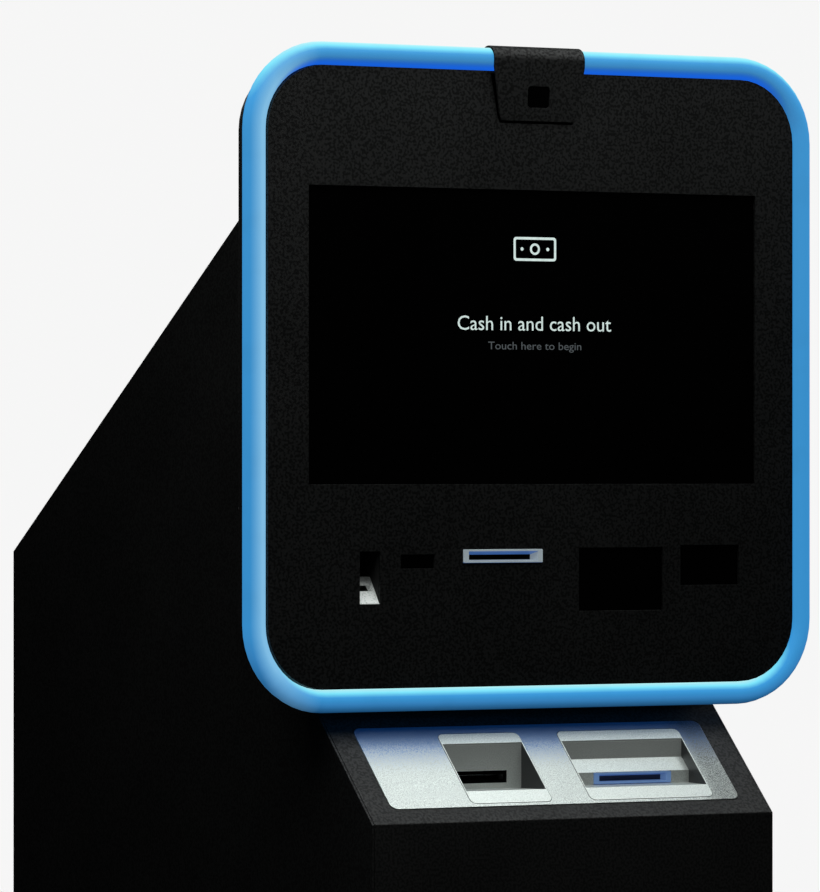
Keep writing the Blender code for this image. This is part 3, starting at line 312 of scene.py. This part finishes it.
M = {
    "powder_black": powder("powder_black", (0.0078, 0.0081, 0.0080), grain=0.30),
    "powder_face": powder("powder_face", (0.0073, 0.0076, 0.0075), grain=0.45, shine=0.17),
    "pocket_silver": pocket_paint("pocket_silver"),
    "tray_silver": metallic_paint("tray_silver"),
    "light_tube": tube_light("light_tube"),
    "note_light": lit_bezel("note_light", (0.17, 0.20, 0.22), (0.032, 0.090, 0.265)),
    "cash_light": lit_bezel("cash_light", (0.055, 0.10, 0.20), (0.03, 0.075, 0.24)),
    "ramp_paint": ramp_paint("ramp_paint"),
    "shutter_blue": plastic("shutter_blue", (0.012, 0.024, 0.070), 0.5),
    "screen_black": glass_black("screen_black"),
    "window_black": glass_black("window_black", rough=0.10),
    "plastic_black": plastic("plastic_black", (0.016, 0.016, 0.017)),
    "plastic_grey": plastic("plastic_grey", (0.40, 0.41, 0.42), 0.48),
    "zinc": metal("zinc", (0.56, 0.57, 0.59), 0.38, (1, 1, 6), 0.08, 0.45),
    "steel": metal("steel", (0.48, 0.49, 0.50), 0.30, (12, 1, 1)),
    "safe_grey": powder("safe_grey", (0.20, 0.21, 0.22), 0.45, 0.10),
    "rubber": plastic("rubber", (0.020, 0.020, 0.020), 0.80, 500.0),
    "paper": paper("paper"),
    "void_black": plastic("void_black", (0.006, 0.006, 0.006), 0.75),
    "board": board("board"),
    "wire_red": plastic("wire_red", (0.42, 0.020, 0.018), 0.40),
    "wire_blue": plastic("wire_blue", (0.020, 0.080, 0.40), 0.40),
    "label": plastic("label", (0.62, 0.62, 0.60), 0.55),
    "picture_white": lamp("picture_white", (0.60, 0.72, 0.69), 1.0),
    "picture_grey": lamp("picture_grey", (0.070, 0.080, 0.085), 1.0),
    "led_green": lamp("led_green", (0.05, 0.65, 0.12), 1.2),
}

# ---------------------------------------------------------------- finishes on the frame's own nodes
OWN = {"face_panel": "powder_face", "camera_bracket": "powder_face", "door_frame": "powder_face",
       "receipt_pocket": "pocket_silver", "cash_pocket": "pocket_silver", "receipt_mouth": "window_black",
       "slot_recess_box": "void_black", "note_bezel": "note_light", "dispenser_bezel": "cash_light",
       "dispenser_shutter": "shutter_blue", "slot_ramp": "ramp_paint"}
for part in frame["record"]["subparts"]:
    shown = frame["nodes"][part["node"]]
    shown.data.materials.clear()
    shown.data.materials.append(M[OWN.get(part["node"], part["material_slot"])])

EDGES = {
    # node: width of the worn edge
    "front_shell": 0.0006, "side_panel_left": 0.0006, "side_panel_right": 0.0006, "tray_plate": 0.0004,
    "receipt_pocket": 0.0004, "cash_pocket": 0.0004, "camera_bracket": 0.0004, "head_housing": 0.0006,
    "face_panel": 0.00015, "door_frame": 0.0005, "note_bezel": 0.0003, "dispenser_bezel": 0.0003,
    "slot_ramp": 0.0003, "slot_recess_box": 0.0003, "safe_door": 0.0010, "safe_body": 0.0008,
    "safe_handle": 0.0012, "rear_panel": 0.0004, "rear_hatch": 0.0006, "mains_inlet": 0.0004,
    "note_cassette_1": 0.0015, "note_cassette_2": 0.0015, "reject_box": 0.0015, "computer": 0.0008,
    "power_supply": 0.0008, "modem": 0.0015, "note_validator": 0.0010, "note_stacker": 0.0010,
    "qr_scanner": 0.0008, "contactless_reader": 0.0008, "presenter": 0.0008, "note_riser": 0.0006,
    "lcd_module": 0.0008, "dispenser_rack": 0.0006, "printer_frame": 0.0005, "print_head": 0.0006,
    "camera_module": 0.0005, "head_lock": 0.0003, "hatch_lock": 0.0003, "bolt_bar": 0.0006,
    "base_plate": 0.0006,
}


def smoothing():
    """Geometry nodes that join the facets' corners and shade them smooth except at real edges."""
    group = bpy.data.node_groups.new("smooth_by_angle", "GeometryNodeTree")
    group.interface.new_socket("Geometry", in_out="INPUT", socket_type="NodeSocketGeometry")
    group.interface.new_socket("Geometry", in_out="OUTPUT", socket_type="NodeSocketGeometry")
    nodes, links = group.nodes, group.links
    merge = nodes.new("GeometryNodeMergeByDistance")
    merge.inputs["Distance"].default_value = 0.00001
    normals = nodes.new("GeometryNodeSetMeshNormal")
    compare = nodes.new("FunctionNodeCompare")
    compare.data_type = "FLOAT"
    compare.operation = "GREATER_THAN"
    compare.inputs[1].default_value = math.radians(33)
    links.new(nodes.new("NodeGroupInput").outputs[0], merge.inputs[0])
    links.new(merge.outputs[0], normals.inputs["Mesh"])
    links.new(nodes.new("GeometryNodeInputMeshEdgeAngle").outputs["Unsigned Angle"], compare.inputs[0])
    links.new(compare.outputs[0], normals.inputs["Edge Sharpness"])
    links.new(normals.outputs[0], nodes.new("NodeGroupOutput").inputs[0])
    return group


SMOOTHING = smoothing()
for shown in frame["nodes"].values():
    shown.modifiers.new("smooth", "NODES").node_group = SMOOTHING

for name, width in EDGES.items():
    shown = frame["nodes"][name]
    bevel = shown.modifiers.new("edge", "BEVEL")
    bevel.width = width
    bevel.segments = 2
    bevel.limit_method = "ANGLE"
    bevel.angle_limit = math.radians(40)
    normals = shown.modifiers.new("normals", "WEIGHTED_NORMAL")
    normals.keep_sharp = True


# ---------------------------------------------------------------- small pieces
class Detail:
    """Small shapes gathered into one piece that rides on one body."""

    def __init__(self, name, body, *finishes):
        self.name, self.body, self.finishes = name, body, finishes
        self.bm = bmesh.new()

    def put(self, verts, slot):
        for face in {face for vert in verts for face in vert.link_faces}:
            face.material_index = slot

    def box(self, low, high, slot=0, bevel=0.0):
        low, high = Vector(low), Vector(high)
        verts = bmesh.ops.create_cube(self.bm, size=1.0)["verts"]
        bmesh.ops.scale(self.bm, vec=high - low, verts=verts)
        bmesh.ops.translate(self.bm, vec=(low + high) / 2, verts=verts)
        if bevel:
            edges = list(dict.fromkeys(edge for vert in verts for edge in vert.link_edges))
            made = bmesh.ops.bevel(self.bm, geom=edges, offset=bevel, segments=2, affect="EDGES", profile=0.5)
            verts = list(dict.fromkeys(vert for face in made["faces"] for vert in face.verts))
            faces = dict.fromkeys(face for vert in verts for face in vert.link_faces)
            verts = list(dict.fromkeys(vert for face in faces for vert in face.verts))
        self.put(verts, slot)

    def lathe(self, start, out, profile, slot=0, sides=20):
        """A profile of (radius, height) points turned round the axis out."""
        out = Vector(out).normalized()
        turn = Matrix.Translation(Vector(start)) @ out.to_track_quat("Z", "Y").to_matrix().to_4x4()
        rings, verts = [], []
        for radius, height in profile:
            count = sides if radius > 1e-6 else 1
            ring = []
            for k in range(count):
                angle = math.tau * k / count
                point = turn @ Vector((radius * math.cos(angle), radius * math.sin(angle), height))
                ring.append(self.bm.verts.new(point))
            rings.append(ring)
            verts += ring
        for low, high in zip(rings, rings[1:]):
            for k in range(sides):
                corners = [low[k % len(low)], low[(k + 1) % len(low)],
                           high[(k + 1) % len(high)], high[k % len(high)]]
                distinct = list(dict.fromkeys(corners))
                if len(distinct) > 2:
                    self.bm.faces.new(distinct)
        self.put(verts, slot)

    def rod(self, start, end, radius, slot=0, sides=16):
        start, end = Vector(start), Vector(end)
        length = (end - start).length
        edge = min(radius * 0.15, length * 0.2)
        self.lathe(start, end - start, [(0, 0), (radius - edge, 0), (radius, edge), (radius, length - edge),
                                        (radius - edge, length), (0, length)], slot, sides)

    def screw(self, at, out, radius=0.003, slot=0):
        """Low round head with a socket."""
        r = radius
        self.lathe(at, out, [(r, 0), (r, 0.30 * r), (0.80 * r, 0.55 * r), (0.50 * r, 0.60 * r),
                             (0.44 * r, 0.20 * r), (0, 0.14 * r)], slot, 16)

    def screws(self, points, out, radius=0.003, slot=0):
        for point in points:
            self.screw(point, out, radius, slot)

    def cable(self, points, radius, slot=0, sides=10, steps=8):
        """A smooth round lead through the points."""
        points = [Vector(p) for p in points]
        ends = [points[0] * 2 - points[1]] + points + [points[-1] * 2 - points[-2]]
        path = []
        for a, b, c, d in zip(ends, ends[1:], ends[2:], ends[3:]):
            for k in range(steps):
                t = k / steps
                path.append(0.5 * (2 * b + (c - a) * t + (2 * a - 5 * b + 4 * c - d) * t * t
                                   + (3 * b - a - 3 * c + d) * t * t * t))
        path.append(points[-1])
        rings, verts = [], []
        side = None
        for k, point in enumerate(path):
            along = (path[min(k + 1, len(path) - 1)] - path[max(k - 1, 0)]).normalized()
            if side is None:
                side = along.orthogonal().normalized()
            side = (side - along * side.dot(along)).normalized()
            other = along.cross(side)
            ring = [self.bm.verts.new(point + (side * math.cos(a) + other * math.sin(a)) * radius)
                    for a in (math.tau * i / sides for i in range(sides))]
            rings.append(ring)
            verts += ring
        for low, high in zip(rings, rings[1:]):
            for k in range(sides):
                self.bm.faces.new((low[k], low[(k + 1) % sides], high[(k + 1) % sides], high[k]))
        self.bm.faces.new(rings[0][::-1])
        self.bm.faces.new(rings[-1])
        self.put(verts, slot)

    def done(self):
        bmesh.ops.recalc_face_normals(self.bm, faces=self.bm.faces)
        mesh = bpy.data.meshes.new(self.name)
        self.bm.to_mesh(mesh)
        self.bm.free()
        mesh.shade_smooth()
        mesh.set_sharp_from_angle(angle=math.radians(40))
        for finish in self.finishes:
            mesh.materials.append(M[finish])
        made = bpy.data.objects.new(self.name, mesh)
        bpy.context.scene.collection.objects.link(made)
        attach(made, self.body)


def mesh_of(curve):
    """The curve's filled shape as a mesh in its own plane."""
    drawing = bpy.data.objects.new(curve.name + "_drawing", curve)
    bpy.context.scene.collection.objects.link(drawing)
    mesh = bpy.data.meshes.new_from_object(drawing.evaluated_get(bpy.context.evaluated_depsgraph_get()))
    bpy.data.objects.remove(drawing)
    return mesh


def upright(name, mesh, finish, y):
    """Stand a flat drawing up at this depth of the head, as a piece of the head door."""
    for vert in mesh.vertices:
        vert.co = Vector((vert.co.x, y, vert.co.y))
    mesh.materials.clear()
    mesh.materials.append(M[finish])
    made = bpy.data.objects.new(name, mesh)
    bpy.context.scene.collection.objects.link(made)
    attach(made, "head_door")


def text(name, words, half_width, baseline, cap_height, finish):
    """A centred line of lettering just in front of the screen, fitted to its width and height."""
    curve = bpy.data.curves.new(name, "FONT")
    curve.body = words
    curve.size = 1.0
    curve.resolution_u = 3
    mesh = mesh_of(curve)
    low = min(v.co.x for v in mesh.vertices)
    high = max(v.co.x for v in mesh.vertices)
    wide = 2 * half_width / (high - low)
    tall = cap_height / FONT_CAP_HEIGHT
    for vert in mesh.vertices:
        vert.co = Vector(((vert.co.x - low) * wide - half_width, baseline + vert.co.y * tall, 0.0))
    upright(name, mesh, finish, PICTURE_Y)


def flat(name, outlines, finish, y=PICTURE_Y):
    """A thin shape facing forward; the outlines after the first are holes."""
    curve = bpy.data.curves.new(name, "CURVE")
    curve.dimensions = "2D"
    curve.fill_mode = "BOTH"
    for outline in outlines:
        spline = curve.splines.new("POLY")
        spline.points.add(len(outline) - 1)
        for point, (x, z) in zip(spline.points, outline):
            point.co = (x, z, 0.0, 1.0)
        spline.use_cyclic_u = True
    upright(name, mesh_of(curve), finish, y)


def rounded(left, right, bottom, top, radius, steps=6):
    """Points of a rectangle with round corners."""
    corners = [(right - radius, bottom + radius, -90), (right - radius, top - radius, 0),
               (left + radius, top - radius, 90), (left + radius, bottom + radius, 180)]
    return [(x + radius * math.cos(math.radians(first + 90 * k / steps)),
             z + radius * math.sin(math.radians(first + 90 * k / steps)))
            for x, z, first in corners for k in range(steps + 1)]


def ring(x, z, radius, steps=28):
    """Points of a circle."""
    return [(x + radius * math.cos(math.tau * k / steps), z + radius * math.sin(math.tau * k / steps))
            for k in range(steps)]


# ---------------------------------------------------------------- screen picture
FONT_CAP_HEIGHT = 0.729
text("screen_title", "Cash in and cash out", 0.0865, 1.3274, 0.0145, "picture_white")
text("screen_hint", "Touch here to begin", 0.0525, 1.3090, 0.0078, "picture_grey")

# a plain banknote sign over the title
ICON_Z = 1.406
outer_edge = rounded(-0.024, 0.024, ICON_Z - 0.0115, ICON_Z + 0.0115, 0.003)
inner_edge = rounded(-0.0216, 0.0216, ICON_Z - 0.0091, ICON_Z + 0.0091, 0.0015)
flat("screen_icon_note", [outer_edge, inner_edge], "picture_white")
flat("screen_icon_disc", [ring(0, ICON_Z, 0.0056), ring(0, ICON_Z, 0.0034)], "picture_white")
for side in (-1, 1):
    flat(f"screen_icon_dot_{side + 1}", [ring(side * 0.0145, ICON_Z, 0.0017, 16)], "picture_white")

# ---------------------------------------------------------------- fixings and marks outside
# a dark sheet that paints the camera bracket's shadow at its left and lower edges
painted_shadow_outline = [(-0.0515, 1.5740), (-0.0440, 1.5335), (-0.0418, 1.5268), (0.0405, 1.5268), (0.0430, 1.5345),
          (0.0500, 1.5740)]
flat("bracket_painted_shadow", [painted_shadow_outline], "window_black", FACE_Y - 0.00015)

rear = Detail("rear_fixings", "root", "steel", "label")
rear.screws([(x, REAR_Y, z) for x in (-0.208, 0.208) for z in (0.726, 0.905, 1.080)], (0, 1, 0), 0.0034)
rear.screws([(x, REAR_Y, z) for x in (FAN_X - 0.0525, FAN_X + 0.0525)
             for z in (FAN_Z - 0.0525, FAN_Z + 0.0525)], (0, 1, 0), 0.0026)
rear.screws([(INLET_X + x, REAR_Y + 0.0030, INLET_Z) for x in (-0.0282, 0.0282)], (0, 1, 0), 0.0021)
rear.box((0.020, REAR_Y, 0.870), (0.090, REAR_Y + 0.0004, 0.912), 1)
rear.screws([(x, REAR_Y + 0.0004, z) for x in (0.024, 0.086) for z in (0.874, 0.908)], (0, 1, 0), 0.0013)
rear.done()

safe_lock = Detail("safe_door_lock", "safe_door", "steel", "void_black", "zinc")
lock_disc = [(0.0150, 0), (0.0150, 0.0018), (0.0135, 0.0030), (0.0090, 0.0030), (0.0086, 0.0042), (0, 0.0042)]
safe_lock.lathe(SAFE_LOCK, (0, 1, 0), lock_disc, 0, 28)
safe_lock.box((0.1042, REAR_Y + 0.0042, 0.5155), (0.1058, REAR_Y + 0.0044, 0.5245), 1)
for height in BOLT_HEIGHTS:
    for side in (-1, 1):
        low = height + side * 0.0110
        safe_lock.box((0.1925, 0.3402, low - 0.003), (0.2060, DOOR_INNER_Y, low + 0.003), 2, 0.0006)
safe_lock.box((0.090, 0.3340, 0.504), (0.120, DOOR_INNER_Y, 0.552), 2, 0.0012)
safe_lock.screws([(x, 0.3340, z) for x in (0.095, 0.115) for z in (0.510, 0.546)], (0, -1, 0), 0.0022)
safe_lock.done()

# ---------------------------------------------------------------- behind the screen
lcd = Detail("lcd_back", "head_door", "zinc", "board", "plastic_black", "label")
for x in (-0.190, 0.190):
    lcd.box((x - 0.010, LCD_BACK_Y, 1.176), (x + 0.010, LCD_BACK_Y + 0.0035, 1.466), 0, 0.0008)
    lcd.screws([(x, LCD_BACK_Y + 0.0035, z) for z in (1.186, 1.321, 1.456)], (0, 1, 0), 0.0028)
lcd.box((-0.070, LCD_BACK_Y + 0.0010, 1.230), (0.080, LCD_BACK_Y + 0.0026, 1.330), 1)
lcd.screws([(x, LCD_BACK_Y + 0.0026, z) for x in (-0.065, 0.075) for z in (1.235, 1.325)], (0, 1, 0), 0.0022)
for x, z, wide, tall in ((-0.030, 1.285, 0.022, 0.022), (0.022, 1.292, 0.014, 0.014),
                         (0.050, 1.262, 0.012, 0.008), (-0.052, 1.252, 0.010, 0.014)):
    lcd.box((x - wide / 2, LCD_BACK_Y + 0.0026, z - tall / 2),
            (x + wide / 2, LCD_BACK_Y + 0.0040, z + tall / 2), 2)
for x in (-0.050, -0.020, 0.010, 0.040):
    lcd.box((x - 0.009, LCD_BACK_Y + 0.0026, 1.231), (x + 0.009, LCD_BACK_Y + 0.0070, 1.237), 2, 0.0004)
for x in (-0.040, 0.000, 0.030, 0.062):
    lcd.rod((x, LCD_BACK_Y + 0.0026, 1.316), (x, LCD_BACK_Y + 0.0080, 1.316), 0.0030, 0, 14)
lcd.box((-0.155, LCD_BACK_Y, 1.370), (-0.095, LCD_BACK_Y + 0.0003, 1.405), 3)
lcd.done()

leads = Detail("head_leads", "head_door", "rubber")
leads.cable([(-0.050, LCD_BACK_Y + 0.0070, 1.234), (-0.051, LCD_BACK_Y + 0.0120, 1.222),
             (-0.049, LCD_BACK_Y + 0.0110, 1.190), (-0.045, LCD_BACK_Y + 0.0100, 1.1515)], 0.0021)
leads.cable([(-0.020, LCD_BACK_Y + 0.0070, 1.234), (-0.016, LCD_BACK_Y + 0.0120, 1.220),
             (0.050, LCD_BACK_Y + 0.0110, 1.170), (0.085, LCD_BACK_Y + 0.0160, 1.120),
             (0.092, LCD_BACK_Y + 0.0170, 1.109)], 0.0019)
leads.cable([(0.010, LCD_BACK_Y + 0.0070, 1.234), (0.016, LCD_BACK_Y + 0.0120, 1.220),
             (0.100, LCD_BACK_Y + 0.0110, 1.168), (0.185, LCD_BACK_Y + 0.0050, 1.135),
             (0.196, LCD_BACK_Y - 0.0040, 1.1185)], 0.0017)
leads.done()

validator = Detail("validator_marks", "head_door", "steel", "led_green", "label", "void_black")
validator.screws([(x, VALIDATOR_BACK_Y, z)
                  for x in (-0.080, 0.004) for z in (1.083, 1.142)], (0, 1, 0), 0.0024)
validator.box((-0.060, VALIDATOR_BACK_Y, 1.100), (-0.025, -0.1642, 1.125), 2)
validator.rod((-0.010, VALIDATOR_BACK_Y, 1.120), (-0.010, -0.1633, 1.120), 0.0016, 1, 12)
validator.box((-0.060, STACKER_BACK_Y - 0.0005, 1.020), (-0.016, STACKER_BACK_Y + 0.0001, 1.060), 3)
validator.box((-0.046, STACKER_BACK_Y, 1.0660), (-0.030, -0.1385, 1.0700), 0, 0.0005)
validator.done()

# ---------------------------------------------------------------- on the equipment shelf
computer = Detail("computer_fittings", "root", "steel", "void_black", "led_green")
for k in range(16):
    x = -0.190 + 0.010 * k
    computer.box((x - 0.0012, 0.060, COMPUTER_TOP_Z), (x + 0.0012, 0.262, 0.8043), 0, 0.0004)
for x, wide, tall in ((-0.185, 0.014, 0.007), (-0.162, 0.014, 0.007), (-0.136, 0.016, 0.014),
                      (-0.110, 0.016, 0.014), (-0.084, 0.016, 0.006)):
    computer.box((x - wide / 2, EQUIPMENT_REAR_Y, 0.742), (x + wide / 2, 0.2873, 0.742 + tall), 0, 0.0004)
    computer.box((x - wide / 2 + 0.001, 0.2873, 0.743), (x + wide / 2 - 0.001, 0.2875, 0.741 + tall), 1)
computer.rod((-0.055, EQUIPMENT_REAR_Y, 0.775), (-0.055, 0.2867, 0.775), 0.0018, 2, 12)
computer.rod((-0.055, EQUIPMENT_REAR_Y, 0.748), (-0.055, 0.2905, 0.748), 0.0050, 1, 18)
computer.screws([(x, EQUIPMENT_REAR_Y, z)
                 for x in (-0.195, -0.035) for z in (0.731, 0.788)], (0, 1, 0), 0.0022)
for k in range(4):
    computer.box((-0.005 + 0.006 * k, MODEM_REAR_Y, 0.744), (-0.003 + 0.006 * k, 0.2361, 0.746), 2)
computer.box((0.000, MODEM_REAR_Y, 0.7285), (0.014, 0.2375, 0.7395), 0, 0.0004)
computer.box((0.0010, 0.2375, 0.7295), (0.0130, 0.2377, 0.7385), 1)
computer.done()

supply = Detail("supply_fittings", "root", "plastic_black", "steel", "label", "void_black")
supply.box((0.062, EQUIPMENT_REAR_Y, 0.7330), (0.148, 0.2975, 0.7450), 0, 0.0006)
for k in range(7):
    x = 0.068 + 0.0122 * k
    supply.screw((x, 0.2915, 0.7450), (0, 0, 1), 0.0026, 1)
    supply.box((x + 0.0056, 0.2856, 0.7452), (x + 0.0066, 0.2970, 0.7490), 0)
for row in range(9):
    for column in range(5):
        supply.rod((0.066 + 0.019 * column, 0.110 + 0.013 * row, 0.7742),
                   (0.066 + 0.019 * column, 0.110 + 0.013 * row, 0.7745), 0.0030, 3, 12)
supply.box((0.075, 0.240, SUPPLY_TOP_Z), (0.135, 0.275, 0.7746), 2)
supply.done()

wiring = Detail("wiring", "root", "rubber", "wire_red", "wire_blue", "plastic_grey")
for offset, slot in ((-0.007, 0), (0.0, 2), (0.007, 1)):
    wiring.cable([(INLET_X + offset, 0.3420, INLET_Z), (INLET_X + offset, 0.3300, 0.799),
                  (0.108 + offset, 0.3130, 0.775), (0.106 + offset * 1.6, 0.3000, 0.7530),
                  (0.105 + offset * 1.74, 0.2950, 0.7480)], 0.0017, slot)
wiring.cable([(0.068, 0.2940, 0.7480), (0.066, 0.3060, 0.7560), (0.020, 0.3180, 0.7650),
              (-0.030, 0.3080, 0.7560), (-0.055, 0.2905, 0.7480)], 0.0024, 0)
wiring.cable([(-0.136, 0.2875, 0.749), (-0.136, 0.3050, 0.750), (-0.090, 0.3180, 0.742),
              (-0.020, 0.2900, 0.734), (0.004, 0.2560, 0.734), (0.007, 0.2377, 0.734)], 0.0026, 3)
wiring.cable([(-0.162, 0.2875, 0.7455), (-0.162, 0.3000, 0.7480), (-0.205, 0.2950, 0.760),
              (-0.212, 0.2000, 0.780), (-0.212, 0.0000, 0.790), (-0.200, -0.1300, 0.790),
              (-0.120, -0.1850, 0.780), (-0.070, PRINTER_BACK_Y, 0.770)], 0.0024, 0)
wiring.cable([(-0.150, 0.3370, 0.957), (-0.150, 0.3280, 0.940), (-0.152, 0.3220, 0.860),
              (-0.150, 0.3120, 0.790), (-0.130, 0.3020, 0.7640), (-0.110, 0.2875, 0.7500)], 0.0018, 1)
wiring.cable([(0.080, 0.2940, 0.7480), (0.082, 0.3080, 0.7520), (0.190, 0.2900, 0.750),
              (0.205, 0.2000, 0.745), (0.205, -0.1000, 0.745), (0.180, -0.2000, 0.770),
              (0.149, -0.2060, 0.790)], 0.0024, 0)
wiring.done()

# ---------------------------------------------------------------- cassettes, dispenser and printer
stack = Detail("cassette_fittings", "root", "label", "steel", "plastic_grey")
for low in (0.0205, 0.2365):
    stack.box((0.104, CASSETTE_REAR_Y, low + 0.150), (0.160, 0.2129, low + 0.185), 0)
    stack.rod((-0.105, CASSETTE_REAR_Y, low + 0.165), (-0.105, 0.2165, low + 0.165), 0.0075, 1, 20)
    stack.box((-0.1058, 0.2165, low + 0.1595), (-0.1042, 0.2169, low + 0.1705), 2)
    stack.box((-0.035, 0.2050, low + 0.135), (0.075, CASSETTE_REAR_Y, low + 0.1395), 2, 0.0010)
stack.box((0.104, CASSETTE_REAR_Y, 0.560), (0.160, 0.2129, 0.590), 0)
stack.box((-0.040, CASSETTE_REAR_Y, 0.510), (-0.032, 0.2285, 0.530), 2, 0.0010)
stack.box((0.072, CASSETTE_REAR_Y, 0.510), (0.080, 0.2285, 0.530), 2, 0.0010)
stack.rod((-0.036, 0.2245, 0.520), (0.076, 0.2245, 0.520), 0.0045, 2, 18)
stack.screws([(x, RACK_REAR_Y, z)
              for x in (-0.138, 0.178) for z in (0.120, 0.340, 0.560)], (0, 1, 0), 0.0018, 1)
stack.done()

drive = Detail("printer_drive", "root", "plastic_grey", "steel", "board", "void_black")
for y, z, radius in ((-0.2945, 0.8930, 0.0085), (-0.2780, 0.8900, 0.0075), (-0.2640, 0.8845, 0.0062)):
    gear = [(0, 0), (radius, 0), (radius, 0.0028), (radius * 0.55, 0.0028), (radius * 0.50, 0.0018),
            (radius * 0.30, 0.0018), (radius * 0.28, 0.0036), (0, 0.0036)]
    drive.lathe((PRINTER_LEFT_X - 0.0003, y, z), (-1, 0, 0), gear, 0, 26)
drive.box((-0.0900, PRINTER_BACK_Y + 0.0001, 0.735), (-0.0340, -0.1970, 0.790), 2)
drive.box((-0.080, -0.1970, 0.762), (-0.060, -0.1930, 0.778), 3, 0.0005)
drive.screws([(x, -0.1970, z) for x in (-0.087, -0.037) for z in (0.739, 0.786)], (0, 1, 0), 0.0018, 1)
drive.screws([(x, RISER_BACK_Y, z)
              for x in (0.058, 0.142) for z in (0.690, 0.780, 0.875)], (0, 1, 0), 0.0026, 1)
for x in (0.070, 0.100, 0.130):
    drive.box((x - 0.005, RISER_BACK_Y, 0.674), (x + 0.005, -0.1857, 0.888), 3)
drive.done()

# ---------------------------------------------------------------- light, floor and camera
# the large overhead light shapes the front; the two others mostly reach the right side and the rear
def area(name, location, target, size, size_y, power, colour=(1.0, 1.0, 1.0)):
    data = bpy.data.lights.new(name, "AREA")
    data.shape = "RECTANGLE"
    data.size, data.size_y = size, size_y
    data.energy = power
    data.color = colour
    made = bpy.data.objects.new(name, data)
    made.location = location
    made.rotation_euler = (Vector(target) - Vector(location)).to_track_quat("-Z", "Y").to_euler()
    bpy.context.scene.collection.objects.link(made)


area("overhead", (-0.235, -0.675, 2.00), (-0.235, -0.675, 0.0), 2.03, 0.95, 15.5, (0.97, 1.0, 0.985))
area("beside", (2.60, 0.55, 1.60), (0.20, 0.10, 0.90), 1.0, 1.2, 30.0)
area("behind", (0.15, 2.60, 2.10), (0.0, 0.36, 0.90), 0.7, 1.4, 45.0)

world = bpy.data.worlds.new("studio")
bpy.context.scene.world = world
world.use_nodes = True
links, made = world.node_tree.links, world.node_tree.nodes
seen = made.new("ShaderNodeBackground")
seen.inputs["Color"].default_value = (0.922, 0.922, 0.922, 1.0)
dim = made["Background"]
dim.inputs["Color"].default_value = (0.008, 0.008, 0.008, 1.0)
choose = made.new("ShaderNodeMixShader")
links.new(made.new("ShaderNodeLightPath").outputs["Is Camera Ray"], choose.inputs[0])
links.new(dim.outputs[0], choose.inputs[1])
links.new(seen.outputs[0], choose.inputs[2])
links.new(choose.outputs[0], made["World Output"].inputs["Surface"])

bpy.ops.mesh.primitive_circle_add(vertices=64, radius=6.0, fill_type="NGON", location=(0, 0, -0.0005))
floor = bpy.context.object
floor.name = "floor"
ground = Finish("floor_paint")
patches = ground.between(ground.noise(3.0, 4.0), 0.0, 1.0, 0.3, 0.7)
ground.set(Base_Color=ground.mix(patches, (0.80, 0.80, 0.80, 1.0), (0.84, 0.84, 0.84, 1.0)), Roughness=0.7,
           Emission_Strength=0.55, Emission_Color=(1.0, 1.0, 1.0, 1.0))
floor.data.materials.append(ground.material)
floor.visible_diffuse = False
floor.visible_glossy = False

lens = bpy.data.cameras.new("camera")
lens.sensor_width = 36.0
lens.lens = 255.19
lens.shift_y = 0.0245
lens.clip_end = 100.0
camera = bpy.data.objects.new("camera", lens)
camera.location = (-3.1602, -5.5311, 1.195)
camera.rotation_euler = (math.radians(90), 0.0, math.radians(-30.06))
bpy.context.scene.collection.objects.link(camera)
bpy.context.scene.camera = camera
bpy.context.scene.view_settings.view_transform = "Standard"
